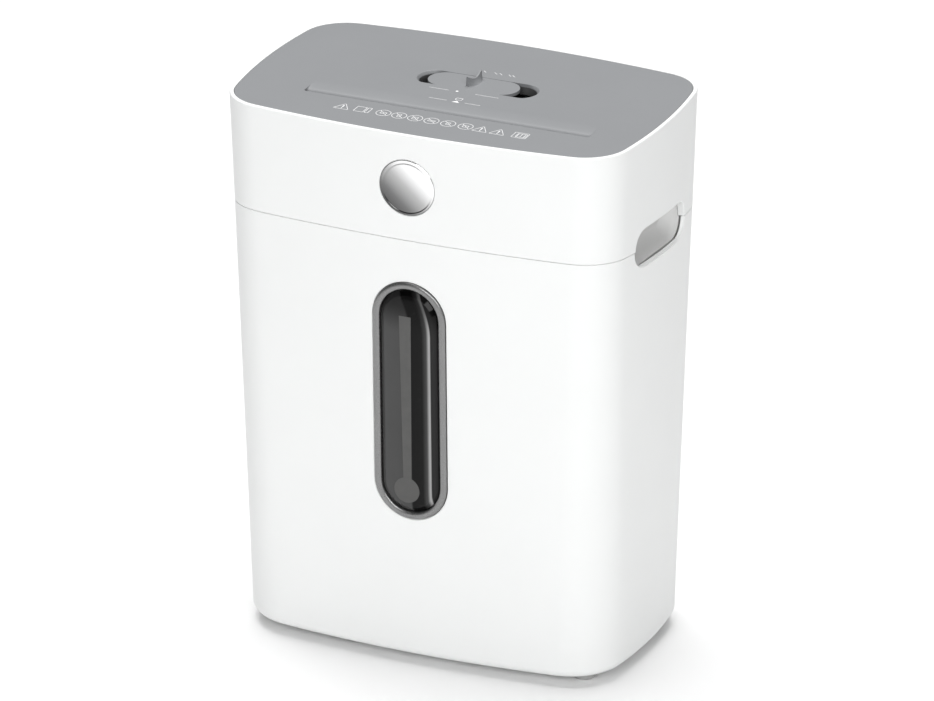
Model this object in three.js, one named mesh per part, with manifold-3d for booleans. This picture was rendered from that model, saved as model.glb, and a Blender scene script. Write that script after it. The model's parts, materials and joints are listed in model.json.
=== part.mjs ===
// Paper shredder: a waste bin with a lift-off cutting head.
// Millimetres, +Z up, the front faces -Y, and the origin is under the middle of the base.

import Module from 'manifold-3d';
import * as THREE from 'three';
import { mergeVertices } from 'three/addons/utils/BufferGeometryUtils.js';

const wasm = await Module();
wasm.setup();

// ---- Driving dimensions ----

const WIDTH = 317;
const DEPTH = 198.4;
const HEIGHT = 416;
const SEAM = { z: 334.8, drop: 10 }; // parting line: its height in front, and how much lower it is behind
const TAPER = 2.3; // how far the head's walls draw in from its top down to the seam
const FRONT_BULGE = 12.3; // how far the front and rear walls bow out
const SIDE_BULGE = 11.1; // how far the side walls bow out
const GAP = 0.3; // air between pieces that touch
const WALL = 2.6; // moulded wall thickness

const FOOT = { radius: 9, height: 6.5, x: 120, y: 54, stemRadius: 3, barbRadius: 3.8 };
const BIN = { floorZ: FOOT.height + GAP, draft: 7.3, footCorner: 43, seamCorner: 35.8, edge: 8 };
const HEAD = { topCorner: 35.6, rim: 2.8, rimRound: 2.4, ledge: 7, ledgeZ: 409.5 };
const PANEL = { top: HEIGHT - 0.2, thickness: 2.5, inset: HEAD.rim + GAP };
const BASE = { bottom: 311, top: 341, inset: 10.5, corner: 27.6, wall: 2.2, floor: 2.5, edge: 6 };

const GRIP = {
  y: -1.5,
  z: 330.6,
  halfLength: 43.5,
  halfHeight: 14,
  corner: 13,
  lip: 7.4,
  mouth: 8.7,
  depth: 24.8,
};
const WINDOW = { z: 209.6, halfSpan: 64.2, halfWidth: 28.4, ring: 5.4, flange: 31.5 };
const BADGE = { z: 375.6, radius: 21.2, recess: 1.5 };
const SLOT = { x: 7.8, y: -45.5, halfLength: 111, halfWidth: 4 };
const SLIDER = { y: 13.4, halfWidth: 12.9, x: 2, halfLength: 35, pocketX: 5.2, pocketHalfLength: 44.9 };
const TOWER = { x: 134, y: 60, radius: 5, top: 396 };
const INLET = { x: 70, z: 372, radius: 8, bore: 3.6 };

// Cutting mechanism: two shafts along X under the slot, held by two steel side plates.
const PLATE = { thickness: 2, leftX: -104, rightX: 124, bottom: BASE.bottom + BASE.floor + GAP, top: 398 };
const CUTTER = { z: 362, spacing: 27, tip: 14.7, body: 13.2, spacer: 11.8, journal: 6, discs: 20, disc: 5.1 };
const CUTTER_Y = { front: SLOT.y - CUTTER.spacing / 2, rear: SLOT.y + CUTTER.spacing / 2 };
const CUTTER_START = PLATE.leftX + 2;
const CUTTER_PITCH = 11.1;

// Gear train, in three layers outside the left plate. Each layer is [outer x, inner x].
const LAYER = { a: [-112.3, -107.3], b: [-118.6, -113.1], c: [-123.9, -119.4] };
const TEETH = { pinion: 10, wheel1: 38, pinion2: 11, wheel2: 34, pinion3: 12, drive: 30, sync: 18 };
const MODULE = { first: 1, second: 1.25, third: 1.5 };
const GEAR_PIN = 3;
const COVER = { outerX: -127.3, wall: 1.8 };

const MOTOR = { y: 44, z: 362, radius: 26, inner: 24.5, shaft: 2.5, front: -103.7, rear: -44 };
const MOTOR_SCREW = { circle: 16, angles: [70, 250], radius: 1.5, head: 3 };

// ---- Materials ----

function material(color, roughness, metalness = 0) {
  return new THREE.MeshStandardMaterial({ color, roughness, metalness });
}

const whitePlastic = () => material(0xf1f3f2, 0.42);
const greyPlastic = () => material(0xa3a5a6, 0.5);
const chrome = () => material(0xd9dadb, 0.12, 1);
const smokedPlastic = () => material(0x2a2b2c, 0.15);
const darkPlastic = () => material(0x2c2d2f, 0.55);
const rubber = () => material(0x3c3d3e, 0.8);
const plateSteel = () => material(0xb4b7ba, 0.35, 1);
const hardSteel = () => material(0x8f9398, 0.3, 1);
const bronze = () => material(0xa8763a, 0.4, 1);
const gearNylon = () => material(0xe8e4d6, 0.45);
const circuitGreen = () => material(0x1f5a3a, 0.5);
const copper = () => material(0xb56a3c, 0.35, 1);
const magnetGrey = () => material(0x4a4b4d, 0.7);

// ---- Solids: three.js geometry in, joined and cut, three.js geometry out ----

const axisX = new THREE.Vector3(1, 0, 0);
const axisY = new THREE.Vector3(0, 1, 0);
const axisZ = new THREE.Vector3(0, 0, 1);

// Maps a flat drawing's own z to X, -Y or Z, so that it is drawn in the plane across that axis.
const ALONG = {
  x: new THREE.Matrix4().makeBasis(axisY, axisZ, axisX),
  y: new THREE.Matrix4().makeBasis(axisX, axisZ, axisY.clone().negate()),
  z: new THREE.Matrix4(),
};

function solidOf(source) {
  const bare = source.clone();
  bare.deleteAttribute('normal');
  bare.deleteAttribute('uv');
  const merged = mergeVertices(bare, 1e-4);
  const faces = [];
  for (let i = 0; i < merged.index.count; i += 3) {
    const corners = [0, 1, 2].map((k) => merged.index.getX(i + k));
    if (new Set(corners).size === 3) faces.push(...corners);
  }
  const vertProperties = merged.attributes.position.array;
  const mesh = { numProp: 3, vertProperties, triVerts: new Uint32Array(faces) };
  return new wasm.Manifold(new wasm.Mesh(mesh));
}

function geometryOf(solid) {
  const mesh = solid.getMesh();
  const result = new THREE.BufferGeometry();
  result.setAttribute('position', new THREE.BufferAttribute(mesh.vertProperties, 3));
  result.setIndex(new THREE.BufferAttribute(mesh.triVerts, 1));
  result.computeVertexNormals();
  return result;
}

const moved = (solid, matrix) => solidOf(geometryOf(solid).applyMatrix4(matrix));
const join = (...solids) => solids.flat().reduce((total, next) => total.add(next));
const cut = (whole, ...tools) => tools.flat().reduce((rest, tool) => rest.subtract(tool), whole);

// A drawing pushed from `from` to `to` along an axis. The drawing's plane is YZ, XZ or XY.
function prism(axis, shape, from, to, curveSegments = 6) {
  const extruded = new THREE.ExtrudeGeometry(shape, { depth: to - from, bevelEnabled: false, curveSegments });
  const start = axis === 'y' ? to : from;
  const offset = new THREE.Matrix4().makeTranslation(...['x', 'y', 'z'].map((a) => (a === axis ? start : 0)));
  return solidOf(extruded.applyMatrix4(offset.multiply(ALONG[axis])));
}

// A profile of [radius, distance along the axis] points turned about an axis through `centre`.
function turned(axis, profile, segments = 16, centre = [0, 0, 0]) {
  const points = profile.map(([radius, along]) => new THREE.Vector2(radius, along));
  const closed = profile.every(([radius]) => radius > 0) ? [...points, points[0].clone()] : points;
  const lathe = new THREE.LatheGeometry(closed, segments);
  const toZ = new THREE.Matrix4().makeBasis(axisX, axisZ, axisY.clone().negate());
  const swing = axis === 'y' ? axisY.clone() : axis === 'x' ? axisX.clone() : axisZ.clone();
  const turn = new THREE.Matrix4().makeRotationFromQuaternion(
    new THREE.Quaternion().setFromUnitVectors(axisZ, swing),
  );
  const offset = new THREE.Matrix4().makeTranslation(...centre);
  return solidOf(lathe.applyMatrix4(toZ).applyMatrix4(turn).applyMatrix4(offset));
}

function rod(axis, radius, from, to, centre = [0, 0, 0], segments = 16) {
  return turned(axis, [[0, from], [radius, from], [radius, to], [0, to]], segments, centre);
}

function tube(axis, inner, outer, from, to, centre = [0, 0, 0], segments = 16) {
  return turned(axis, [[inner, from], [outer, from], [outer, to], [inner, to]], segments, centre);
}

function block([x0, x1], [y0, y1], [z0, z1]) {
  const box = new THREE.BoxGeometry(x1 - x0, y1 - y0, z1 - z0);
  return solidOf(box.translate((x0 + x1) / 2, (y0 + y1) / 2, (z0 + z1) / 2));
}

// A closed solid through sections of { at, points }, stacked along an axis.
function loft(axis, sections) {
  const count = sections[0].points.length;
  const positions = sections.flatMap(({ at, points }) => points.flatMap((point) => [point.x, point.y, at]));
  const faces = [];
  for (let level = 0; level < sections.length - 1; level++) {
    for (let i = 0; i < count; i++) {
      const a = level * count + i;
      const b = level * count + ((i + 1) % count);
      faces.push(a, b, b + count, a, b + count, a + count);
    }
  }
  const last = (sections.length - 1) * count;
  for (const [a, b, c] of THREE.ShapeUtils.triangulateShape(sections[0].points, [])) faces.push(c, b, a);
  for (const [a, b, c] of THREE.ShapeUtils.triangulateShape(sections.at(-1).points, [])) {
    faces.push(last + a, last + b, last + c);
  }
  const surface = new THREE.BufferGeometry();
  surface.setAttribute('position', new THREE.Float32BufferAttribute(positions, 3));
  surface.setIndex(faces);
  return solidOf(surface.applyMatrix4(ALONG[axis]));
}

// ---- Drawings ----

function arc(x, y, radius, from, to, steps) {
  return new THREE.EllipseCurve(x, y, radius, radius, from, to, to < from).getPoints(steps).slice(0, -1);
}

function polygon(points, holes = []) {
  const shape = new THREE.Shape(points.map((p) => (Array.isArray(p) ? new THREE.Vector2(...p) : p)));
  shape.holes = holes.map((hole) => new THREE.Path(hole));
  return shape;
}

function roundedBox(u, v, halfU, halfV, corner, steps = 3) {
  const quarter = Math.PI / 2;
  const corners = [[1, 1], [-1, 1], [-1, -1], [1, -1]];
  return corners.flatMap(([su, sv], k) => {
    const start = k * quarter;
    const centre = [u + su * (halfU - corner), v + sv * (halfV - corner)];
    const points = new THREE.EllipseCurve(...centre, corner, corner, start, start + quarter).getPoints(steps);
    return corner < halfV ? points : points.slice(0, -1 + (k % 2));
  });
}

// A slot shape with round ends, longer in the first direction.
function obround(u, v, halfU, halfV, steps = 6) {
  const reach = halfU - halfV;
  const quarter = Math.PI / 2;
  return [
    ...new THREE.EllipseCurve(u + reach, v, halfV, halfV, -quarter, quarter).getPoints(steps),
    ...new THREE.EllipseCurve(u - reach, v, halfV, halfV, quarter, 3 * quarter).getPoints(steps),
  ];
}

// A window shape with round ends, longer in the second direction.
function stadium(halfWidth, halfSpan = WINDOW.halfSpan, steps = 8) {
  return [
    ...new THREE.EllipseCurve(0, halfSpan, halfWidth, halfWidth, 0, Math.PI).getPoints(steps),
    ...new THREE.EllipseCurve(0, -halfSpan, halfWidth, halfWidth, Math.PI, 2 * Math.PI).getPoints(steps),
  ];
}

function circle(u, v, radius, steps = 16) {
  return arc(u, v, radius, 0, 2 * Math.PI, steps);
}

// The casing's plan: four shallow arcs joined by round corners, drawn `inset` inside the head's outline.
function plan(inset, corner) {
  const [wallSteps, cornerSteps] = [4, 4];
  const halfWidth = WIDTH / 2 - inset;
  const halfDepth = DEPTH / 2 - inset;
  const frontRadius = (halfWidth ** 2 + FRONT_BULGE ** 2) / (2 * FRONT_BULGE);
  const sideRadius = (halfDepth ** 2 + SIDE_BULGE ** 2) / (2 * SIDE_BULGE);
  const frontY = frontRadius - halfDepth;
  const sideX = halfWidth - sideRadius;
  // The corner's centre lies inside both arcs by its own radius.
  const reachFront = frontRadius - corner;
  const reachSide = sideRadius - corner;
  const apart = Math.hypot(sideX, frontY);
  const along = (reachFront ** 2 - reachSide ** 2 + apart ** 2) / (2 * apart);
  const across = Math.sqrt(reachFront ** 2 - along ** 2);
  const cornerX = (along * sideX + across * frontY) / apart;
  const cornerY = frontY + (-along * frontY + across * sideX) / apart;
  const front = Math.atan2(cornerY - frontY, cornerX);
  const side = Math.atan2(cornerY, cornerX - sideX);
  const half = Math.PI;
  return [
    arc(0, frontY, frontRadius, -half - front, front, wallSteps),
    arc(cornerX, cornerY, corner, front, side, cornerSteps),
    arc(sideX, 0, sideRadius, side, -side, wallSteps),
    arc(cornerX, -cornerY, corner, -side, -front, cornerSteps),
    arc(0, -frontY, frontRadius, -front, half + front, wallSteps),
    arc(-cornerX, -cornerY, corner, half + front, half + side, cornerSteps),
    arc(-sideX, 0, sideRadius, half + side, half - side, wallSteps),
    arc(-cornerX, cornerY, corner, half - side, half - front, cornerSteps),
  ].flat();
}

// ---- Gears ----

const outerRadius = (teeth, module) => (teeth / 2 + 0.85) * module;
const centreDistance = (teethA, teethB, module) => ((teethA + teethB) / 2) * module;

// A straight-flanked gear outline with one tooth centred on angle `phase`, and a round bore.
function gearShape(teeth, module, phase, bore) {
  const pitchRadius = (teeth * module) / 2;
  const halfTooth = 0.41 * (Math.PI / 2) * module;
  const slope = Math.tan(THREE.MathUtils.degToRad(20));
  const tip = { radius: pitchRadius + 0.85 * module, half: halfTooth - 0.85 * module * slope };
  const root = { radius: pitchRadius - 1.15 * module, half: halfTooth + 1.15 * module * slope * 0.6 };
  const corners = [[root, -1], [tip, -1], [tip, 1], [root, 1]];
  const points = [];
  for (let tooth = 0; tooth < teeth; tooth++) {
    const middle = phase + (tooth * 2 * Math.PI) / teeth;
    for (const [{ radius, half }, side] of corners) {
      const angle = middle + (side * half) / radius;
      points.push([radius * Math.cos(angle), radius * Math.sin(angle)]);
    }
  }
  return polygon(points, bore ? [circle(0, 0, bore, 12)] : []);
}

// The phase that puts a gear in mesh with its driver, whose own phase and direction to it are given.
function meshedPhase(driverTeeth, driverPhase, teeth, direction) {
  return direction + Math.PI + Math.PI / teeth - (driverTeeth / teeth) * (driverPhase - direction);
}

const wheelLink = centreDistance(TEETH.pinion3, TEETH.drive, MODULE.third);
const middleLink = centreDistance(TEETH.pinion2, TEETH.wheel2, MODULE.second);
const motorLink = centreDistance(TEETH.pinion, TEETH.wheel1, MODULE.first);
const shaft2 = { y: CUTTER_Y.rear + wheelLink, z: CUTTER.z };
const motorToShaft2 = MOTOR.y - shaft2.y;
// The first reduction shaft stands above the line from the motor to the second reduction shaft.
const lift = Math.acos(
  (motorToShaft2 ** 2 + motorLink ** 2 - middleLink ** 2) / (2 * motorToShaft2 * motorLink),
);
const shaft1 = { y: MOTOR.y - motorLink * Math.cos(lift), z: MOTOR.z + motorLink * Math.sin(lift) };
const directionFrom = (a, b) => Math.atan2(b.z - a.z, b.y - a.y);

const frontShaft = { y: CUTTER_Y.front, z: CUTTER.z };
const rearShaft = { y: CUTTER_Y.rear, z: CUTTER.z };
const phases = { syncFront: 0, drive: 0 };
phases.syncRear = meshedPhase(TEETH.sync, phases.syncFront, TEETH.sync, directionFrom(frontShaft, rearShaft));
phases.pinion3 = meshedPhase(TEETH.drive, phases.drive, TEETH.pinion3, directionFrom(rearShaft, shaft2));
phases.wheel2 = 0;
phases.pinion2 = meshedPhase(TEETH.wheel2, phases.wheel2, TEETH.pinion2, directionFrom(shaft2, shaft1));
phases.wheel1 = 0;
phases.pinion = meshedPhase(TEETH.wheel1, phases.wheel1, TEETH.pinion, directionFrom(shaft1, MOTOR));

function gear(teeth, module, phase, layer, bore) {
  return prism('x', gearShape(teeth, module, phase, bore), ...layer);
}

// ---- Seam ----

const seamSlope = SEAM.drop / DEPTH;
const seamHeight = (y) => SEAM.z - seamSlope * (y + DEPTH / 2);

// Everything above the sloping seam, raised by `rise`.
function aboveSeam(rise) {
  const reach = DEPTH / 2 + 20;
  const side = [
    [-reach, seamHeight(-reach) + rise],
    [reach, seamHeight(reach) + rise],
    [reach, HEIGHT + 20],
    [-reach, HEIGHT + 20],
  ];
  return prism('x', polygon(side), -WIDTH / 2 - 20, WIDTH / 2 + 20);
}

// ---- Bin ----

const binShare = (z) => (SEAM.z - z) / (SEAM.z - BIN.floorZ);
const binInset = (z) => TAPER + BIN.draft * binShare(z);
const binCorner = (z) => BIN.seamCorner + (BIN.footCorner - BIN.seamCorner) * binShare(z);

// The bin's outside, or its inside when `wall` is the wall's thickness. The bottom edge is rounded.
function binVolume(wall, top) {
  const edge = BIN.edge - wall;
  const floor = BIN.floorZ + wall;
  const levels = [0, 30, 60, 90].map((degrees) => THREE.MathUtils.degToRad(degrees));
  const rounded = levels.map((angle) => {
    const z = floor + edge * (1 - Math.cos(angle));
    const extra = wall + edge * (1 - Math.sin(angle));
    return { at: z, points: plan(binInset(z) + extra, binCorner(z) - extra) };
  });
  return loft('z', [...rounded, { at: top, points: plan(binInset(top) + wall, binCorner(top) - wall) }]);
}

// The hand grips' own frame: at the middle of a grip, and tilted with the seam.
const gripFrame = new THREE.Matrix4()
  .makeTranslation(0, GRIP.y, GRIP.z)
  .multiply(new THREE.Matrix4().makeRotationX(-Math.atan(seamSlope)));

// The grip's outline, grown by `margin` and pushed through the right or the left wall.
function gripTool(side, margin, inner, outer) {
  const [from, to] = side > 0 ? [inner, outer] : [-outer, -inner];
  const [length, height] = [GRIP.halfLength + margin, GRIP.halfHeight + margin];
  const outline = roundedBox(0, 0, length, height, GRIP.corner + margin, 3);
  return moved(prism('x', polygon(outline), from, to), gripFrame);
}

// The window's own frame: x across, y up the drafted front wall, z out of it.
const windowFrame = new THREE.Matrix4()
  .makeTranslation(0, binInset(WINDOW.z) - DEPTH / 2, WINDOW.z)
  .multiply(new THREE.Matrix4().makeRotationX(Math.PI / 2 + Math.atan(BIN.draft / (SEAM.z - BIN.floorZ))));

const INTERLOCK = { x: 0, inset: 8, radius: 1.6, ledgeTop: 317 };
const interlockY = DEPTH / 2 - INTERLOCK.inset;

function binShell() {
  const opening = polygon(stadium(WINDOW.halfWidth + GAP));
  const hole = new THREE.ExtrudeGeometry(opening, { depth: 24, bevelEnabled: false });
  const ledgeWidth = [INTERLOCK.x - 6, INTERLOCK.x + 6];
  const ledge = block(ledgeWidth, [interlockY - 1.6, interlockY + 3.6], [309, INTERLOCK.ledgeTop]);
  const inside = binVolume(WALL, SEAM.z + 2);
  const outside = cut(binVolume(0, SEAM.z + 1), aboveSeam(0));
  const feet = footPlaces().map(([x, y]) => rod('z', FOOT.stemRadius + GAP, 0, 12, [x, y, 0], 12));
  const grips = [1, -1].map((side) => gripTool(side, 0, 140, 170));
  const windowHole = solidOf(hole.translate(0, 0, -12).applyMatrix4(windowFrame));
  return cut(join(cut(outside, inside), ledge), windowHole, grips, feet);
}

function windowBezel() {
  const inner = WINDOW.halfWidth - WINDOW.ring;
  const ring = (outer, depth, from) =>
    solidOf(
      new THREE.ExtrudeGeometry(polygon(stadium(outer), [stadium(inner)]), { depth, bevelEnabled: false })
        .translate(0, 0, from),
    );
  return join(ring(WINDOW.halfWidth, 5, -4.3), ring(WINDOW.flange, 2.2, -6));
}

// A smoked pod: a flange behind the wall, a raised front with a bevelled edge, and a fill gauge inside it.
function windowPane() {
  const section = (at, halfWidth) => ({ at, points: stadium(halfWidth) });
  const levels = [[-8.3, 29.5], [-6.3, 29.5], [-6.3, 22.7], [-2, 22.7], [2, 18.9]];
  const body = loft('z', levels.map(([at, halfWidth]) => section(at, halfWidth)));
  const hollow = loft('z', [section(-9, 18.4), section(-0.4, 18.4)]);
  const rib = polygon([[-4.6, -60], [1.8, -60], [2.7, 67], [-6.6, 67]]);
  const ribShape = new THREE.ExtrudeGeometry(rib, { depth: 1.4, bevelEnabled: false });
  const gaugeRib = solidOf(ribShape.translate(0, 0, -1.6));
  const bulb = rod('z', 9.9, -1.6, -0.2, [-2, -69.1, 0], 18);
  return join(cut(body, hollow), gaugeRib, bulb);
}

function footPlaces() {
  return [[-FOOT.x, -FOOT.y], [FOOT.x, -FOOT.y], [-FOOT.x, FOOT.y], [FOOT.x, FOOT.y]];
}

// A push-in foot: a pad under the floor, a stem through it and a barb above it.
function foot() {
  const floorTop = BIN.floorZ + WALL;
  const profile = [
    [0, 0],
    [FOOT.radius - 1, 0],
    [FOOT.radius, 1],
    [FOOT.radius, FOOT.height],
    [FOOT.stemRadius, FOOT.height],
    [FOOT.stemRadius, floorTop + GAP],
    [FOOT.barbRadius, floorTop + GAP],
    [FOOT.stemRadius - 1, floorTop + 2],
    [0, floorTop + 2],
  ];
  return turned('z', profile, 12);
}

// ---- Head casing ----

const headShare = (z) => (HEIGHT - z) / (HEIGHT - SEAM.z);
const headInset = (z) => TAPER * headShare(z);
const headCorner = (z) => HEAD.topCorner + (BIN.seamCorner - HEAD.topCorner) * headShare(z);
const headSection = (z, inset) => ({ at: z, points: plan(headInset(z) + inset, headCorner(z) - inset) });

// The badge's own frame: square to the tapered front wall, with y 0 at the wall's outside.
const badgeFrame = new THREE.Matrix4()
  .makeTranslation(0, headInset(BADGE.z) - DEPTH / 2, BADGE.z)
  .multiply(new THREE.Matrix4().makeRotationX(Math.atan(TAPER / (HEIGHT - SEAM.z))));

function headShell() {
  const lowest = SEAM.z - SEAM.drop - 2;
  const rounding = [0, 45, 90].map((degrees) => {
    const angle = THREE.MathUtils.degToRad(degrees);
    const z = HEIGHT - HEAD.rimRound * (1 - Math.sin(angle));
    return headSection(z, HEAD.rimRound * (1 - Math.cos(angle)));
  });
  const outside = loft('z', [headSection(lowest, 0), ...rounding]).intersect(aboveSeam(GAP));
  const panelSeat = PANEL.top - PANEL.thickness - GAP;
  const inside = loft('z', [
    headSection(lowest - 1, WALL),
    headSection(HEAD.ledgeZ, WALL),
    headSection(HEAD.ledgeZ, HEAD.ledge),
    headSection(panelSeat, HEAD.ledge),
    headSection(panelSeat, HEAD.rim),
    headSection(HEIGHT + 1, HEAD.rim),
  ]);
  const lips = [1, -1].map((side) => {
    const inner = WIDTH / 2 - GRIP.lip;
    return gripTool(side, 2.2, inner, WIDTH / 2 + 2).intersect(outside);
  });
  const grips = [1, -1].map((side) => gripTool(side, 0, 140, 170));
  const badgeSeat = moved(rod('y', BADGE.radius + GAP, -10, BADGE.recess, [0, 0, 0], 24), badgeFrame);
  const inletHole = rod('y', INLET.radius + GAP, 80, 110, [INLET.x, 0, INLET.z], 14);
  return cut(join(cut(outside, inside), lips), grips, badgeSeat, inletHole);
}

function badge() {
  const back = BADGE.recess - GAP;
  const rim = [[BADGE.radius - 0.6, 0], [BADGE.radius, 0.6], [BADGE.radius, back]];
  return turned('y', [[0, 0], ...rim, [0, back]], 24);
}

// A bushing for the mains lead, held in the rear wall and flush with it.
function cordInlet() {
  const wallOutside = DEPTH / 2 - headInset(INLET.z) - FRONT_BULGE * (INLET.x / (WIDTH / 2)) ** 2;
  const wallInside = wallOutside - WALL - 1.6;
  return turned('y', [
    [INLET.bore, wallInside - 3],
    [INLET.radius + 3, wallInside - 3],
    [INLET.radius + 3, wallInside],
    [INLET.radius, wallInside],
    [INLET.radius, wallOutside - 0.6],
    [INLET.bore, wallOutside - 0.6],
  ], 14);
}

function topPanel() {
  const bottom = PANEL.top - PANEL.thickness;
  const plate = prism('z', polygon(plan(PANEL.inset, HEAD.topCorner - PANEL.inset)), bottom, PANEL.top);
  const pocketLength = SLIDER.pocketHalfLength;
  const pocketWidth = SLIDER.halfWidth + 0.4;
  const pocketFloor = 409.5;
  const pocket = (margin, from, to) => {
    const outline = obround(SLIDER.pocketX, SLIDER.y, pocketLength + margin, pocketWidth + margin);
    return prism('z', polygon(outline), from, to);
  };
  const stemSlot = block([-9.5, 20], [SLIDER.y - 2.3, SLIDER.y + 2.3], [400, 412]);
  const slotOutline = roundedBox(SLOT.x, SLOT.y, SLOT.halfLength, SLOT.halfWidth, 1.5);
  const feedSlot = prism('z', polygon(slotOutline), 400, HEIGHT);
  const boss = ([x, y]) => tube('z', 1.9, 4, TOWER.top + GAP, bottom + 0.5, [x, y, 0], 8);
  const bosses = towerPlaces().map(boss);
  return cut(
    join(plate, pocket(1.8, pocketFloor - 2, bottom + 0.5), bosses),
    pocket(0, pocketFloor, HEIGHT),
    stemSlot,
    feedSlot,
  );
}

function towerPlaces() {
  return [[-TOWER.x, -TOWER.y], [TOWER.x, -TOWER.y], [-TOWER.x, TOWER.y], [TOWER.x, TOWER.y]];
}

// One side's finger bowl, opening outwards. `skin` is 0 for its outside and its thickness for its inside.
function gripBowl(side, skin) {
  const mouth = WIDTH / 2 - GRIP.mouth + (skin ? 3 : 0);
  const end = WIDTH / 2 - GRIP.depth + skin;
  const sections = [[end, -6, -6.5], [end + 3.5, -1.5, -2], [end + 9, 2.6, 3.4], [mouth, 3.7, 3.7]];
  const outline = (lengthMargin, heightMargin) => {
    const halfLength = GRIP.halfLength + lengthMargin - skin;
    const halfHeight = GRIP.halfHeight + heightMargin - skin;
    return roundedBox(0, 0, halfLength, halfHeight, Math.min(GRIP.corner, halfHeight - 0.5), 3);
  };
  const stack = sections.map(([at, lengthMargin, heightMargin]) => ({
    at,
    points: outline(lengthMargin, heightMargin),
  }));
  const turn = new THREE.Matrix4().makeRotationZ(side > 0 ? 0 : Math.PI);
  return moved(loft('x', stack), gripFrame.clone().multiply(turn));
}

function headBase() {
  const section = (z, inset) => ({ at: z, points: plan(inset, BASE.corner - (inset - BASE.inset)) });
  const outside = loft('z', [
    section(BASE.bottom, BASE.inset + BASE.edge),
    section(BASE.bottom + 1.8, BASE.inset + 1.8),
    section(BASE.bottom + BASE.edge, BASE.inset),
    section(BASE.top, BASE.inset),
  ]);
  const floorTop = BASE.bottom + BASE.floor;
  const inside = loft('z', [
    section(floorTop, BASE.inset + BASE.wall + BASE.edge),
    section(floorTop + 1.8, BASE.inset + BASE.wall + 1.8),
    section(floorTop + BASE.edge, BASE.inset + BASE.wall),
    section(BASE.top + 1, BASE.inset + BASE.wall),
  ]);
  // The flange follows the seam, just above the head's own bottom edge.
  const alongSeam = new THREE.Matrix4();
  alongSeam.set(1, 0, 0, 0, 0, 1, 0, 0, 0, -seamSlope, 1, seamHeight(0), 0, 0, 0, 1);
  const flange = moved(loft('z', [section(1.4, BASE.inset - 5), section(3.6, BASE.inset - 5)]), alongSeam);
  const sides = [1, -1];
  const bowls = sides.map((side) => gripBowl(side, 0));
  const hollows = sides.map((side) => gripBowl(side, BASE.wall));
  const lipRoom = sides.map((side) => gripTool(side, 4, WIDTH / 2 - GRIP.lip - 0.6, 170));
  const outlet = block([-101, 121], [-71, -20], [300, 320]);
  const tower = ([x, y]) => rod('z', TOWER.radius, BASE.bottom + 1, TOWER.top, [x, y, 0], 10);
  const towers = towerPlaces().map(tower);
  const screwRooms = towerPlaces().map(([x, y]) =>
    join(rod('z', 3.8, 300, TOWER.top - 3.5, [x, y, 0], 8), rod('z', 2, 390, TOWER.top + 2, [x, y, 0], 8)),
  );
  const interlockHole = rod('z', INTERLOCK.radius + 0.4, 320, 342, [INTERLOCK.x, interlockY, 0], 12);
  const tub = join(cut(join(outside, flange), inside), bowls, towers);
  return cut(tub, hollows, lipRoom, outlet, screwRooms, interlockHole);
}

function screw(axis, head, headHeight, shank, length) {
  const headProfile = [[0, -headHeight], [head, -headHeight], [head, 0]];
  return turned(axis, [...headProfile, [shank, 0], [shank, length], [0, length]], 8);
}

// ---- Cutting frame ----

const combSeats = { front: [-77, -72], rear: [-19, -14] };
const COMB = { bottom: 341.5, top: 349.5, tenon: 2.2, shoulder: 2 };
const TIE_RODS = { tie_rod_front: [-71, 390], tie_rod_rear: [-8, 392], tie_rod_lower: [-6, 324] };
const TIE = { radius: 4, tenon: 2.4 };

// A pierced side plate. The left one reaches back to carry the gears and the motor.
function sidePlate(leftFace, rearY, extraHoles) {
  const outline = polygon([
    [-78.5, BASE.top + 1],
    [-74, BASE.top + 1],
    [-64, PLATE.bottom],
    [rearY - 8, PLATE.bottom],
    [rearY, PLATE.bottom + 8],
    [rearY, PLATE.top - 8],
    [rearY - 8, PLATE.top],
    [-72.5, PLATE.top],
    [-78.5, PLATE.top - 6],
  ]);
  const bushHoles = [CUTTER_Y.front, CUTTER_Y.rear].map((y) => circle(y, CUTTER.z, 9 + GAP, 16));
  const tieHoles = Object.values(TIE_RODS).map(([y, z]) => circle(y, z, TIE.tenon + GAP, 10));
  const drawing = polygon(outline.getPoints(), [...bushHoles, ...tieHoles, ...extraHoles]);
  const plate = prism('x', drawing, leftFace, leftFace + PLATE.thickness);
  const tenonRooms = Object.values(combSeats).map(([low, high]) => {
    const middle = (low + high) / 2;
    const room = [COMB.bottom + COMB.shoulder - GAP, COMB.top - COMB.shoulder + GAP];
    return block([leftFace - 1, leftFace + 3], [middle - 1.5 - GAP, middle + 1.5 + GAP], room);
  });
  return cut(plate, tenonRooms);
}

function leftPlate() {
  const pinHoles = [shaft1, shaft2].map(({ y, z }) => circle(y, z, GEAR_PIN - 0.5 + GAP, 12));
  const pinionHole = circle(MOTOR.y, MOTOR.z, 8, 16);
  const screwHoles = motorScrewPlaces().map(({ y, z }) => circle(y, z, MOTOR_SCREW.radius + GAP, 8));
  return sidePlate(PLATE.leftX - PLATE.thickness, 74, [...pinHoles, pinionHole, ...screwHoles]);
}

function motorScrewPlaces() {
  return MOTOR_SCREW.angles.map((degrees) => {
    const angle = THREE.MathUtils.degToRad(degrees);
    const [across, up] = [Math.cos(angle), Math.sin(angle)];
    return { y: MOTOR.y + MOTOR_SCREW.circle * across, z: MOTOR.z + MOTOR_SCREW.circle * up };
  });
}

function tieRod() {
  const [left, right] = [PLATE.leftX + GAP, PLATE.rightX - GAP];
  const reach = PLATE.thickness + GAP + 0.5;
  const profile = [
    [0, left - reach],
    [TIE.tenon, left - reach],
    [TIE.tenon, left],
    [TIE.radius, left],
    [TIE.radius, right],
    [TIE.tenon, right],
    [TIE.tenon, right + reach],
    [0, right + reach],
  ];
  return turned('x', profile, 10);
}

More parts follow.
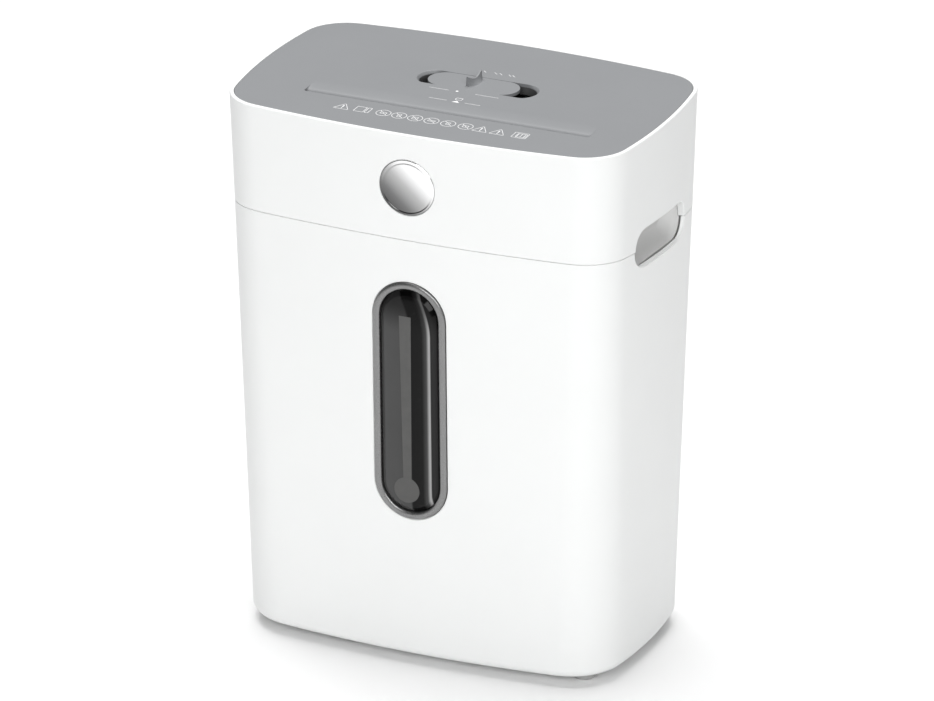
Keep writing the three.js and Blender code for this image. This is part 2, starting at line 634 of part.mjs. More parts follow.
// A flanged bush, seated from inside the plate. `side` is -1 in the left plate and 1 in the right one.
function bush(side) {
  const inner = CUTTER.journal + 0.35;
  const profile = side > 0
    ? [[inner, -1.3], [11, -1.3], [11, -GAP], [9, -GAP], [9, 2.4], [inner, 2.4]]
    : [[inner, -2.4], [9, -2.4], [9, GAP], [11, GAP], [11, 1.3], [inner, 1.3]];
  return turned('x', profile, 12);
}

// Where disc number `index` starts. The rear shaft's discs run in the front shaft's gaps.
function discStart(index, rear) {
  const middle = CUTTER_START + (index + (rear ? 0.75 : 0.25)) * CUTTER_PITCH;
  return middle - CUTTER.disc / 2;
}

// A cutting disc with three hooked teeth.
function discShape(phase, hand) {
  const steps = [[0, CUTTER.tip], [20, CUTTER.body], [62, CUTTER.body], [108, CUTTER.body]];
  const points = [];
  for (let tooth = 0; tooth < 3; tooth++) {
    for (const [offset, radius] of steps) {
      const angle = hand * THREE.MathUtils.degToRad(phase + tooth * 120 + offset);
      points.push([radius * Math.cos(angle), radius * Math.sin(angle)]);
    }
  }
  return polygon(hand > 0 ? points : points.reverse());
}

function cutter(rear) {
  const left = rear ? LAYER.b[0] - 0.6 : LAYER.a[0] - 0.5;
  const ends = { left, right: PLATE.rightX + PLATE.thickness + 0.8 };
  const seat = rear ? 4.6 : 5;
  const journal = turned('x', [
    [0, ends.left],
    [seat, ends.left],
    [seat, LAYER.a[1]],
    [CUTTER.journal, LAYER.a[1]],
    [CUTTER.journal, ends.right],
    [0, ends.right],
  ], 12);
  const spacer = rod('x', CUTTER.spacer, CUTTER_START, PLATE.rightX - 1.8, [0, 0, 0], 8);
  const discs = [];
  for (let index = 0; index < CUTTER.discs; index++) {
    const start = discStart(index, rear);
    discs.push(prism('x', discShape(index * 15, rear ? -1 : 1), start, start + CUTTER.disc));
  }
  return join(journal, spacer, discs);
}

// A bar with one finger in each gap between a shaft's discs, which keeps strips from wrapping round it.
function comb(rear) {
  const hand = rear ? -1 : 1;
  const axis = rear ? CUTTER_Y.rear : CUTTER_Y.front;
  const [low, high] = rear ? combSeats.rear : combSeats.front;
  const middle = (low + high) / 2;
  const [left, right] = [PLATE.leftX + GAP, PLATE.rightX - GAP];
  const bar = block([left, right], [low, high], [COMB.bottom, COMB.top]);
  const tenonHeight = [COMB.bottom + COMB.shoulder, COMB.top - COMB.shoulder];
  const tenons = block([left - COMB.tenon, right + COMB.tenon], [middle - 1.5, middle + 1.5], tenonHeight);
  const reach = CUTTER.spacer + 0.6;
  const start = THREE.MathUtils.degToRad(245);
  const end = THREE.MathUtils.degToRad(185);
  const hollow = new THREE.EllipseCurve(0, 0, reach, reach, start, end, true).getPoints(3);
  const outline = [
    [-18, 343 - CUTTER.z],
    [-13.4, 343 - CUTTER.z],
    ...hollow.map(({ x, y }) => [x, y]),
    [-18, reach * Math.sin(end)],
  ].map(([y, z]) => [axis + hand * y, CUTTER.z + z]);
  const finger = polygon(rear ? outline.reverse() : outline);
  const fingers = [];
  for (let index = 0; index < CUTTER.discs - 1; index++) {
    const gapStart = discStart(index, rear) + CUTTER.disc;
    const gapEnd = discStart(index + 1, rear);
    fingers.push(prism('x', finger, gapStart + 0.9, gapEnd - 0.9));
  }
  return join(bar, tenons, fingers);
}

const SENSOR = { x: [8, 14], pivot: { y: -58.5, z: 393 }, hub: 2.6, pin: 1.1 };

function feedGuide(rear) {
  const hand = rear ? -1 : 1;
  const [left, right] = [SLOT.x - SLOT.halfLength + 0.2, SLOT.x + SLOT.halfLength - 0.2];
  const top = PANEL.top - PANEL.thickness - GAP;
  const profile = [[-4.7, 376], [-4.7, top], [-16, top], [-16, top - 1.8], [-6.5, top - 1.8], [-6.5, 376]];
  const outline = profile.map(([y, z]) => [SLOT.y + hand * y, z]);
  const guide = prism('x', polygon(rear ? outline : outline.reverse()), left, right);
  if (rear) return guide;
  return cut(guide, block([SENSOR.x[0] - 1, SENSOR.x[1] + 1], [-60, -45], [378, 397.5]));
}

// ---- Gear train ----

// A wheel, a smaller pinion and the hub between them, running on a pin.
function reductionGear(wheel, pinion, hub) {
  const bore = GEAR_PIN + 0.35;
  const body = tube('x', bore, hub.radius, hub.from, hub.to, [0, 0, 0], 12);
  return join(gear(...wheel, bore), gear(...pinion, bore), body);
}

function gearPin() {
  return turned('x', [
    [0, LAYER.c[0] - 0.8],
    [GEAR_PIN, LAYER.c[0] - 0.8],
    [GEAR_PIN, PLATE.leftX - PLATE.thickness - GAP],
    [GEAR_PIN - 0.5, PLATE.leftX - PLATE.thickness - GAP],
    [GEAR_PIN - 0.5, PLATE.leftX - 0.1],
    [0, PLATE.leftX - 0.1],
  ], 12);
}

// A dish over the gears, open towards the left plate.
function gearCover() {
  const outline = (margin) => polygon([
    [-77.6 + margin, 347],
    [-62 + margin / 2, 333 + margin],
    [62, 333 + margin],
    [68 - margin, 339],
    [68 - margin, 392],
    [62, 397.5 - margin],
    [-71, 397.5 - margin],
    [-77.6 + margin, 391],
  ]);
  const rim = PLATE.leftX - PLATE.thickness - GAP;
  const dish = prism('x', outline(0), COVER.outerX, rim);
  return cut(dish, prism('x', outline(COVER.wall), COVER.outerX + COVER.wall, rim + 1));
}

// ---- Motor ----

function motorCan() {
  const can = turned('x', [
    [3.2, MOTOR.front],
    [MOTOR.radius, MOTOR.front],
    [MOTOR.radius, MOTOR.rear],
    [MOTOR.inner, MOTOR.rear],
    [MOTOR.inner, MOTOR.front + 2.4],
    [3.2, MOTOR.front + 2.4],
  ], 18);
  const holes = motorScrewPlaces().map(({ y, z }) =>
    rod('x', MOTOR_SCREW.radius + GAP, -110, -90, [0, y - MOTOR.y, z - MOTOR.z], 8),
  );
  return cut(can, holes);
}

function motorEndCap() {
  const face = MOTOR.rear + GAP;
  return turned('x', [
    [3.2, face - 2.5],
    [MOTOR.inner - 0.9, face - 2.5],
    [MOTOR.inner - 0.9, face],
    [MOTOR.radius, face],
    [MOTOR.radius, face + 3],
    [9, face + 3],
    [9, face + 5],
    [3.2, face + 5],
  ], 16);
}

function motorMagnet(middle) {
  const span = THREE.MathUtils.degToRad(62);
  const outline = [
    ...new THREE.EllipseCurve(0, 0, 24, 24, middle - span, middle + span).getPoints(10),
    ...new THREE.EllipseCurve(0, 0, 21.8, 21.8, middle + span, middle - span, true).getPoints(10),
  ];
  return prism('x', polygon(outline), -97, -57);
}

function motorShaft() {
  const seat = 2;
  return turned('x', [
    [0, LAYER.a[0] - 0.4],
    [seat, LAYER.a[0] - 0.4],
    [seat, LAYER.a[1] + 1],
    [MOTOR.shaft, LAYER.a[1] + 1],
    [MOTOR.shaft, -27],
    [0, -27],
  ], 10);
}

function armature() {
  const bore = MOTOR.shaft + GAP;
  return turned('x', [
    [bore, -98],
    [13, -98],
    [15, -94],
    [20.8, -94],
    [20.8, -61],
    [15, -61],
    [13, -57],
    [8.5, -57],
    [8.5, -48],
    [bore, -48],
  ], 12);
}

function coolingFan() {
  const bore = MOTOR.shaft + GAP;
  const disc = tube('x', bore, 22, -29.4, -28, [0, 0, 0], 18);
  const hub = tube('x', bore, 6, -37, -28, [0, 0, 0], 12);
  const blades = [];
  for (let index = 0; index < 9; index++) {
    const blade = new THREE.BoxGeometry(7.5, 16.2, 1.2).translate(-32.4, 13.2, 0);
    blades.push(solidOf(blade.rotateX((index * 2 * Math.PI) / 9)));
  }
  return join(disc, hub, blades);
}

// ---- Switches and electronics ----

// The mode slider: a flush plate with a thumb fin on top and a stem down into the switch.
function modeSlider() {
  const plate = prism('z', polygon(obround(0, 0, SLIDER.halfLength, SLIDER.halfWidth)), 413, PANEL.top - 0.1);
  // The fin bends to the right towards the rear, and its crest dips between its two ends.
  const [finTop, finReach] = [7, 8.6];
  const stations = [0, 1, 2, 3, 4, 5, 6].map((k) => k / 6);
  const edge = (offset) => stations.map((s) => [offset + 5.8 * s ** 2, 1.6 + finReach * (2 * s - 1)]);
  const footprint = polygon([...edge(-0.7), ...edge(-3.6).reverse()]);
  const crest = stations.map((s) => [1.6 + finReach * (1 - 2 * s), PANEL.top + finTop - 12.2 * s * (1 - s)]);
  const side = polygon([[1.6 - finReach, PANEL.top - 1], [1.6 + finReach, PANEL.top - 1], ...crest]);
  const fin = prism('z', footprint, PANEL.top - 1, PANEL.top + finTop).intersect(prism('x', side, -5, 8));
  const stem = block([-4, 4], [-1.8, 1.8], [400.5, 414]);
  return join(plate, fin, stem);
}

function modeSwitch() {
  const body = block([-16, 28], [SLIDER.y - 8, SLIDER.y + 8], [392, 407.2]);
  return cut(body, block([-10.5, 21], [SLIDER.y - 2.6, SLIDER.y + 2.6], [399, 410]));
}

function controlBoard() {
  const board = block([20, 112], [57, 58.6], [322, 392]);
  const relay = block([28, 46], [42, 57.4], [360, 380]);
  const transformer = block([58, 84], [38, 57.4], [330, 352]);
  const terminals = block([90, 108], [48, 57.4], [372, 384]);
  const capacitors = [[40, 340], [94, 342]].map(([x, z]) => rod('y', 6, 38, 57.4, [x, 0, z], 12));
  return join(board, relay, transformer, terminals, capacitors);
}

function interlockSwitch() {
  return block([INTERLOCK.x - 8, INTERLOCK.x + 8], [interlockY - 7, interlockY + 1.5], [349.5, 362]);
}

function interlockPlunger() {
  const bottom = INTERLOCK.ledgeTop + GAP;
  return turned('z', [
    [0, bottom],
    [INTERLOCK.radius, bottom],
    [INTERLOCK.radius, 341.5],
    [2.6, 341.5],
    [2.6, 343.3],
    [INTERLOCK.radius, 343.3],
    [INTERLOCK.radius, 347],
    [0, 347],
  ], 12);
}

// The paper sensor: a switch beside the throat, a pin from it, and a lever that the paper pushes down.
function sensorSwitch() {
  const { y, z } = SENSOR.pivot;
  const body = block([-4, 6.6], [y - 8, y + 1.5], [z - 8, z + 9]);
  return cut(body, rod('x', SENSOR.pin + GAP, 2, 12, [0, y, z], 8));
}

function sensorLever() {
  const hub = rod('x', SENSOR.hub, ...SENSOR.x, [0, 0, 0], 12);
  const arm = block([SENSOR.x[0] + 0.5, SENSOR.x[1] - 0.5], [0, 15.6], [-0.9, 0.9]);
  const bore = rod('x', SENSOR.pin + 0.35, 0, 20, [0, 0, 0], 10);
  return cut(join(hub, arm), bore);
}

// ---- Assembly ----

function addMesh(parent, name, surface, solid, position = [0, 0, 0]) {
  const mesh = new THREE.Mesh(geometryOf(solid), surface);
  mesh.name = name;
  mesh.position.set(...position);
  parent.add(mesh);
  return mesh;
}

const shredder = new THREE.Group();
const bin = new THREE.Group();
const head = new THREE.Group();
const windowUnit = new THREE.Group();
shredder.add(bin, head);
bin.add(windowUnit);
windowUnit.applyMatrix4(windowFrame);
const badgeUnit = new THREE.Group();
head.add(badgeUnit);
badgeUnit.applyMatrix4(badgeFrame);

addMesh(bin, 'bin_shell', whitePlastic(), binShell());
addMesh(windowUnit, 'window_bezel', chrome(), windowBezel());
addMesh(windowUnit, 'window_pane', smokedPlastic(), windowPane());
const footNames = ['foot_front_left', 'foot_front_right', 'foot_rear_left', 'foot_rear_right'];
footPlaces().forEach(([x, y], index) => addMesh(bin, footNames[index], rubber(), foot(), [x, y, 0]));

addMesh(head, 'head_shell', whitePlastic(), headShell());
addMesh(head, 'top_panel', greyPlastic(), topPanel());
addMesh(badgeUnit, 'badge', chrome(), badge());
addMesh(head, 'head_base', greyPlastic(), headBase());
addMesh(head, 'cord_inlet', rubber(), cordInlet(), [INLET.x, 0, INLET.z]);
towerPlaces().forEach(([x, y], index) => {
  const caseScrew = screw('z', 3.2, 2.4, 1.4, 15.5);
  addMesh(head, `case_screw_${index + 1}`, plateSteel(), caseScrew, [x, y, TOWER.top - 3.5 - GAP]);
});

addMesh(head, 'frame_plate_left', plateSteel(), leftPlate());
addMesh(head, 'frame_plate_right', plateSteel(), sidePlate(PLATE.rightX, 6, []));
for (const [name, [y, z]] of Object.entries(TIE_RODS)) addMesh(head, name, plateSteel(), tieRod(), [0, y, z]);
addMesh(head, 'comb_front', darkPlastic(), comb(false));
addMesh(head, 'comb_rear', darkPlastic(), comb(true));
addMesh(head, 'feed_guide_front', darkPlastic(), feedGuide(false));
addMesh(head, 'feed_guide_rear', darkPlastic(), feedGuide(true));
for (const [row, y] of Object.entries(CUTTER_Y)) {
  addMesh(head, `bush_${row}_left`, bronze(), bush(-1), [PLATE.leftX, y, CUTTER.z]);
  addMesh(head, `bush_${row}_right`, bronze(), bush(1), [PLATE.rightX, y, CUTTER.z]);
}

addMesh(head, 'cutter_front', hardSteel(), cutter(false), [0, frontShaft.y, frontShaft.z]);
addMesh(head, 'cutter_rear', hardSteel(), cutter(true), [0, rearShaft.y, rearShaft.z]);
const syncFront = gear(TEETH.sync, MODULE.third, phases.syncFront, LAYER.a, 5 + GAP);
const syncRear = gear(TEETH.sync, MODULE.third, phases.syncRear, LAYER.a, 4.6 + GAP);
const driveGear = gear(TEETH.drive, MODULE.third, phases.drive, LAYER.b, 4.6 + GAP);
addMesh(head, 'sync_gear_front', hardSteel(), syncFront, [0, frontShaft.y, frontShaft.z]);
addMesh(head, 'sync_gear_rear', hardSteel(), syncRear, [0, rearShaft.y, rearShaft.z]);
addMesh(head, 'drive_gear', gearNylon(), driveGear, [0, rearShaft.y, rearShaft.z]);

const firstGear = reductionGear(
  [TEETH.wheel1, MODULE.first, phases.wheel1, LAYER.a],
  [TEETH.pinion2, MODULE.second, phases.pinion2, LAYER.c],
  { radius: 5.4, from: LAYER.c[0], to: LAYER.a[1] },
);
const secondGear = reductionGear(
  [TEETH.wheel2, MODULE.second, phases.wheel2, LAYER.c],
  [TEETH.pinion3, MODULE.third, phases.pinion3, LAYER.b],
  { radius: 5.4, from: LAYER.c[0], to: LAYER.a[1] },
);
addMesh(head, 'reduction_gear_1', gearNylon(), firstGear, [0, shaft1.y, shaft1.z]);
addMesh(head, 'reduction_gear_2', gearNylon(), secondGear, [0, shaft2.y, shaft2.z]);
addMesh(head, 'gear_pin_1', hardSteel(), gearPin(), [0, shaft1.y, shaft1.z]);
addMesh(head, 'gear_pin_2', hardSteel(), gearPin(), [0, shaft2.y, shaft2.z]);
addMesh(head, 'gear_cover', darkPlastic(), gearCover());

const motor = new THREE.Group();
motor.position.set(0, MOTOR.y, MOTOR.z);
head.add(motor);
addMesh(motor, 'motor_can', plateSteel(), motorCan());
addMesh(motor, 'motor_end_cap', darkPlastic(), motorEndCap());
addMesh(motor, 'motor_magnet_upper', magnetGrey(), motorMagnet(Math.PI / 2));
addMesh(motor, 'motor_magnet_lower', magnetGrey(), motorMagnet(-Math.PI / 2));
addMesh(motor, 'motor_shaft', hardSteel(), motorShaft());
addMesh(motor, 'armature', copper(), armature());
const pinionGear = gear(TEETH.pinion, MODULE.first, phases.pinion, LAYER.a, 2 + GAP);
addMesh(motor, 'motor_pinion', hardSteel(), pinionGear);
addMesh(motor, 'cooling_fan', darkPlastic(), coolingFan());
motorScrewPlaces().forEach(({ y, z }, index) => {
  const place = [PLATE.leftX - PLATE.thickness - GAP, y, z];
  const motorScrew = screw('x', MOTOR_SCREW.head, 1.4, MOTOR_SCREW.radius, 6.5);
  addMesh(head, `motor_screw_${index + 1}`, plateSteel(), motorScrew, place);
});

addMesh(head, 'mode_slider', greyPlastic(), modeSlider(), [SLIDER.x, SLIDER.y, 0]);
addMesh(head, 'mode_switch', darkPlastic(), modeSwitch());
addMesh(head, 'control_board', circuitGreen(), controlBoard());
addMesh(head, 'interlock_switch', darkPlastic(), interlockSwitch());
addMesh(head, 'interlock_plunger', darkPlastic(), interlockPlunger(), [INTERLOCK.x, interlockY, 0]);
const pivotPlace = [0, SENSOR.pivot.y, SENSOR.pivot.z];
addMesh(head, 'sensor_switch', darkPlastic(), sensorSwitch());
addMesh(head, 'sensor_pin', hardSteel(), rod('x', SENSOR.pin, 2.3, 16, [0, 0, 0], 8), pivotPlace);
addMesh(head, 'sensor_lever', darkPlastic(), sensorLever(), pivotPlace);

export default shredder;
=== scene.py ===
# Paper shredder: the visual model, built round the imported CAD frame.
# Lengths are in millimetres until a mesh is finished, in the CAD's own frame: +Z up, front faces -Y.

import json
import math

import bmesh
import bpy
from mathutils import Matrix, Vector

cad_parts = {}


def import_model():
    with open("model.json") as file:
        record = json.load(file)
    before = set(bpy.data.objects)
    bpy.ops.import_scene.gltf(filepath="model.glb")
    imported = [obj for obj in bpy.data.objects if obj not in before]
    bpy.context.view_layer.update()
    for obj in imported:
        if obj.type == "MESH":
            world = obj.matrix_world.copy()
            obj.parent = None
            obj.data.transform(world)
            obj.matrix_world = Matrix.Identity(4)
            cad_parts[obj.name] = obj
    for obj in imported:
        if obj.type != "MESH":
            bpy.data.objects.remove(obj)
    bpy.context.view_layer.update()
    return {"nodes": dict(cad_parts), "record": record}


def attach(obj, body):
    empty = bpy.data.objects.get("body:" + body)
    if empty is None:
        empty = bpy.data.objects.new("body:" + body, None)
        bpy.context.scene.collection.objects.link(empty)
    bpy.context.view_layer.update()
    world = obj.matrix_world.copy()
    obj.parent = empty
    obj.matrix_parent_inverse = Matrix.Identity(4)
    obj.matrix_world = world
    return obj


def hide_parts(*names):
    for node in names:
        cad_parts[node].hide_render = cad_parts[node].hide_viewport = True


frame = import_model()
record = frame["record"]

MM = 0.001
TAU = 2 * math.pi

# ---- Driving dimensions, the same as the CAD's ----

WIDTH, DEPTH, HEIGHT = 317, 198.4, 416
SEAM_Z, SEAM_DROP, TAPER = 334.8, 10, 2.3
SEAM_SLOPE = SEAM_DROP / DEPTH
FRONT_BULGE, SIDE_BULGE = 12.3, 11.1
GAP, WALL = 0.3, 2.6
BIN_FLOOR, BIN_DRAFT, BIN_EDGE = 6.8, 7.3, 8
BIN_FOOT_CORNER, BIN_SEAM_CORNER = 43, 35.8
HEAD_TOP_CORNER, HEAD_RIM, HEAD_RIM_ROUND, HEAD_LEDGE, HEAD_LEDGE_Z = 35.6, 2.8, 2.4, 7, 409.5
PANEL_TOP, PANEL_THICKNESS, PANEL_INSET = 415.8, 2.5, 3.1
BASE_BOTTOM, BASE_TOP, BASE_INSET, BASE_CORNER, BASE_WALL, BASE_EDGE = 311, 341, 10.5, 27.6, 2.2, 6
GRIP_Y, GRIP_Z, GRIP_LENGTH, GRIP_HEIGHT, GRIP_CORNER = -1.5, 330.6, 43.5, 14, 13
GRIP_LIP, GRIP_MOUTH, GRIP_DEPTH = 7.4, 8.7, 24.8
GRIP_EDGE_BIN, GRIP_EDGE_HEAD, WINDOW_EDGE = 1.9, 0.5, 0.9
WINDOW_Z, WINDOW_SPAN, WINDOW_WIDTH, WINDOW_RING, WINDOW_FLANGE = 209.6, 64.2, 28.4, 5.4, 31.5
BADGE_Z, BADGE_RADIUS, BADGE_RECESS = 375.6, 21.2, 1.5
SLOT_X, SLOT_Y, SLOT_LENGTH, SLOT_WIDTH = 7.8, -45.5, 111, 4
SLIDER_X, SLIDER_Y, SLIDER_LENGTH, SLIDER_WIDTH = 2, 13.4, 35, 12.9
POCKET_X, POCKET_LENGTH, POCKET_WIDTH = 5.2, 44.9, 13.3
TOWERS = [(x, y) for y in (-60, 60) for x in (-134, 134)]
TOWER_TOP, TOWER_RADIUS = 396, 5
FEET = {
    "foot_front_left": (-120, -54),
    "foot_front_right": (120, -54),
    "foot_rear_left": (-120, 54),
    "foot_rear_right": (120, 54),
}
INLET_X, INLET_Z, INLET_RADIUS, INLET_BORE = 70, 372, 8, 3.6
INTERLOCK_Y, LEDGE_TOP = 91.2, 317

# The feed slot's lead-in: (depth below the panel, reach beyond the slot's rear edge, reach beyond its ends).
SLOT_LEAD_IN = [
    (3.6, -2.6, 0),
    (2.9, -2.0, 0),
    (2.2, -1.3, 0),
    (1.6, -0.6, 0),
    (1.15, 0.2, 0),
    (0.9, 1.4, 0),
    (0.62, 3.6, 0.05),
    (0.36, 6.4, 0.1),
    (0.15, 9.6, 0.15),
    (0.04, 12.5, 0.3),
]
SLOT_THROAT = 4.55  # half the width of the throat under the slot

# The dished ends of the slider's pocket: (reach beyond the pocket, depth below the panel).
POCKET_DISH = [(0, 2.4), (0.45, 1.8), (0.95, 1.05), (1.4, 0.5), (1.8, 0.15), (2.3, 0), (2.8, -2)]

MARKS_Y = -66  # the row of printed signs in front of the slot
INK_LOW, INK_HIGH = PANEL_TOP - 0.02, PANEL_TOP + 0.05

# The slider's thumb fin.
FIN_Y = SLIDER_Y + 1.6
FIN_HALF_LENGTH = 8.6
FIN_HEIGHT = 7  # above the panel, at both ends
FIN_DIP = 12.2  # four times how far the crest sinks in the middle
FIN_COVE = 13.5  # four times how far the dished side spreads at its foot

# The badge's painted reflection, dark at its lower left and bright at its upper right: (distance from its
# middle towards the upper right in mm, tone).
BADGE_PAINTED_REFLECTION = [(-22, 0.08), (-12, 0.18), (0, 0.46), (10, 0.9), (22, 0.98)]

# Painted reflection and painted highlight on the smoked pod: lighter left of the strip as a painted
# reflection, dark on its right in the smoked acrylic's own tone, with a painted highlight line near its right
# edge: (distance from the pod's middle line in mm, tone).
WINDOW_PAINTED_REFLECTION = [
    (-24, 0.03),
    (-21, 0.09),
    (-19.5, 0.08),
    (1, 0.066),
    (2.6, 0.005),
    (11, 0.007),
    (14.5, 0.06),
    (16.2, 0.36),
    (16.9, 0.36),
    (17.5, 0.02),
    (19.5, 0.024),
    (21, 0.018),
    (23, 0.005),
]

# ---- Camera and light, in metres and watts ----

LENS, SENSOR = 354.2, 36
CAMERA_PLACE = (2.51280, -5.57773, 2.80503)
CAMERA_LOOKS = (-0.377874, 0.839643, -0.390142)
WORLD_STRENGTH = 0.09
LIGHTS = {  # name: (place, target, size, power)
    "key": ((0.6, -3.6, 1.9), (0, 0, 0.22), (1.6, 1.6), 45),
    "side_key": ((2.6, -2.8, 1.9), (0, 0, 0.22), (1.6, 1.6), 54),
    "top": ((-0.4, 0.6, 3.4), (0, 0, 0.3), (3.0, 3.0), 145),
}

# ---- Drawings ----


def arc(x, y, radius, start, end, steps):
    angles = [start + (end - start) * k / steps for k in range(steps)]
    return [(x + radius * math.cos(a), y + radius * math.sin(a)) for a in angles]


def circle(x, y, radius, steps=48):
    return arc(x, y, radius, 0, TAU, steps)


def wall_arcs(inset):
    """Radius and centre of the front arc and of the side arc, `inset` inside the head's outline."""
    half_width, half_depth = WIDTH / 2 - inset, DEPTH / 2 - inset
    front = (half_width**2 + FRONT_BULGE**2) / (2 * FRONT_BULGE)
    side = (half_depth**2 + SIDE_BULGE**2) / (2 * SIDE_BULGE)
    return front, front - half_depth, side, half_width - side


def plan(inset, corner, wall_steps=28, corner_steps=18):
    """The casing's plan: four shallow arcs joined by round corners."""
    front_radius, front_y, side_radius, side_x = wall_arcs(inset)
    reach_front, reach_side = front_radius - corner, side_radius - corner
    apart = math.hypot(side_x, front_y)
    along = (reach_front**2 - reach_side**2 + apart**2) / (2 * apart)
    across = math.sqrt(reach_front**2 - along**2)
    corner_x = (along * side_x + across * front_y) / apart
    corner_y = front_y + (across * side_x - along * front_y) / apart
    front = math.atan2(corner_y - front_y, corner_x)
    side = math.atan2(corner_y, corner_x - side_x)
    half = math.pi
    return (
        arc(0, front_y, front_radius, -half - front, front, wall_steps)
        + arc(corner_x, corner_y, corner, front, side, corner_steps)
        + arc(side_x, 0, side_radius, side, -side, wall_steps)
        + arc(corner_x, -corner_y, corner, -side, -front, corner_steps)
        + arc(0, -front_y, front_radius, -front, half + front, wall_steps)
        + arc(-corner_x, -corner_y, corner, half + front, half + side, corner_steps)
        + arc(-side_x, 0, side_radius, half + side, half - side, wall_steps)
        + arc(-corner_x, corner_y, corner, half - side, half - front, corner_steps)
    )


def side_wall(y, inset=0):
    """How far out the right wall is at a given y."""
    _, _, radius, centre = wall_arcs(inset)
    return centre + math.sqrt(radius**2 - y**2)


def front_wall(x, inset=0):
    """How far forward the front wall is at a given x."""
    radius, centre, _, _ = wall_arcs(inset)
    return math.sqrt(radius**2 - x**2) - centre


def bin_share(z):
    return (SEAM_Z - z) / (SEAM_Z - BIN_FLOOR)


def bin_inset(z):
    return TAPER + BIN_DRAFT * bin_share(z)


def head_share(z):
    return (HEIGHT - z) / (HEIGHT - SEAM_Z)


def seam_height(y):
    return SEAM_Z - SEAM_SLOPE * (y + DEPTH / 2)


def casing_ring(outline, z):
    """A ring round the casing: level far from the seam, and sloping down to the rear with it when near."""
    share = max(0, 1 - abs(z - SEAM_Z) / 60) * SEAM_SLOPE
    return [(x, y, z - share * (y + DEPTH / 2)) for x, y in outline]


def bin_ring(z, inset):
    corner = BIN_SEAM_CORNER + (BIN_FOOT_CORNER - BIN_SEAM_CORNER) * bin_share(z)
    return casing_ring(plan(bin_inset(z) + inset, corner - inset), z)


def head_ring(z, inset):
    corner = HEAD_TOP_CORNER + (BIN_SEAM_CORNER - HEAD_TOP_CORNER) * head_share(z)
    return casing_ring(plan(TAPER * head_share(z) + inset, corner - inset), z)


def base_plan(inset):
    return plan(inset, BASE_CORNER + BASE_INSET - inset)


def rounded_box(u, v, half_u, half_v, corner, steps=10):
    points = []
    for k, (su, sv) in enumerate([(1, 1), (-1, 1), (-1, -1), (1, -1)]):
        start = k * TAU / 4
        centre = (u + su * (half_u - corner), v + sv * (half_v - corner))
        points += arc(*centre, corner, start, start + TAU / 4, steps)
        end = start + TAU / 4
        points.append((centre[0] + corner * math.cos(end), centre[1] + corner * math.sin(end)))
    return points


def obround(u, v, half_u, half_v, steps=28):
    """A slot with round ends, longer in the first direction."""
    reach = half_u - half_v
    right = arc(u + reach, v, half_v, -TAU / 4, TAU / 4, steps) + [(u + reach, v + half_v)]
    left = arc(u - reach, v, half_v, TAU / 4, 3 * TAU / 4, steps) + [(u - reach, v - half_v)]
    return right + left


def stadium(half_width, z=0):
    """The window's outline in its own frame, at height z out of the wall."""
    return [(x, y, z) for y, x in obround(0, 0, WINDOW_SPAN + half_width, half_width)]


def fillet(points, radius, steps=4, closed=True):
    """Rounds each corner of a line of points. `radius` is one number or one for each corner."""
    count = len(points)
    radii = radius if isinstance(radius, (list, tuple)) else [radius] * count
    out = []
    for i, point in enumerate(points):
        corner = Vector(point)
        if not radii[i] or (not closed and i in (0, count - 1)):
            out.append(tuple(corner))
            continue
        before = Vector(points[i - 1]) - corner
        after = Vector(points[(i + 1) % count]) - corner
        reach = min(radii[i], 0.49 * before.length, 0.49 * after.length)
        start = corner + before.normalized() * reach
        end = corner + after.normalized() * reach
        for k in range(steps + 1):
            t = k / steps
            out.append(tuple(start * (1 - t) ** 2 + corner * (2 * t * (1 - t)) + end * t**2))
    return out


def divided(points, step, closed=True):
    """Adds points along a line's long spans, so that none is longer than `step`."""
    out = []
    count = len(points)
    for i, point in enumerate(points):
        out.append(tuple(point))
        if not closed and i == count - 1:
            break
        start, end = Vector(point), Vector(points[(i + 1) % count])
        pieces = max(1, math.ceil((end - start).length / step))
        out += [tuple(start.lerp(end, k / pieces)) for k in range(1, pieces)]
    return out


# ---- Meshes ----


def solid(verts, faces):
    """A temporary object in millimetres, with doubled points merged and its faces turned outwards."""
    mesh = bpy.data.meshes.new("solid")
    mesh.from_pydata([tuple(v) for v in verts], [], faces)
    edit = bmesh.new()
    edit.from_mesh(mesh)
    bmesh.ops.remove_doubles(edit, verts=edit.verts, dist=1e-4)
    bmesh.ops.recalc_face_normals(edit, faces=edit.faces)
    edit.to_mesh(mesh)
    edit.free()
    made = bpy.data.objects.new("solid", mesh)
    bpy.context.scene.collection.objects.link(made)
    return made


def stack(rings, closed=False):
    """A solid through equal rings of points. Closed joins the last ring to the first."""
    count = len(rings[0])
    levels = len(rings)
    faces = []
    for level in range(levels if closed else levels - 1):
        here = level * count
        above = ((level + 1) % levels) * count
        for i in range(count):
            j = (i + 1) % count
            faces.append((here + i, here + j, above + j, above + i))
    if not closed:
        faces.append(tuple(reversed(range(count))))
        faces.append(tuple(range((levels - 1) * count, levels * count)))
    return solid([point for ring in rings for point in ring], faces)


def level(outline, z):
    return [(x, y, z) for x, y in outline]


def placed(axis, u, v, along):
    """A point of a drawing across an axis: the drawing is in YZ, XZ or XY."""
    return {"x": (along, u, v), "y": (u, along, v), "z": (u, v, along)}[axis]


def turned(axis, profile, centre=(0, 0), segments=48, edge=0.4, closed=False):
    """A profile of (radius, distance along the axis) points, its corners rounded, turned about an axis."""
    rounded = fillet(profile, edge, 3, closed)
    rings = []
    for radius, along in rounded:
        outline = circle(*centre, max(radius, 1e-6), segments)
        rings.append([placed(axis, u, v, along) for u, v in outline])
    return stack(rings, closed)


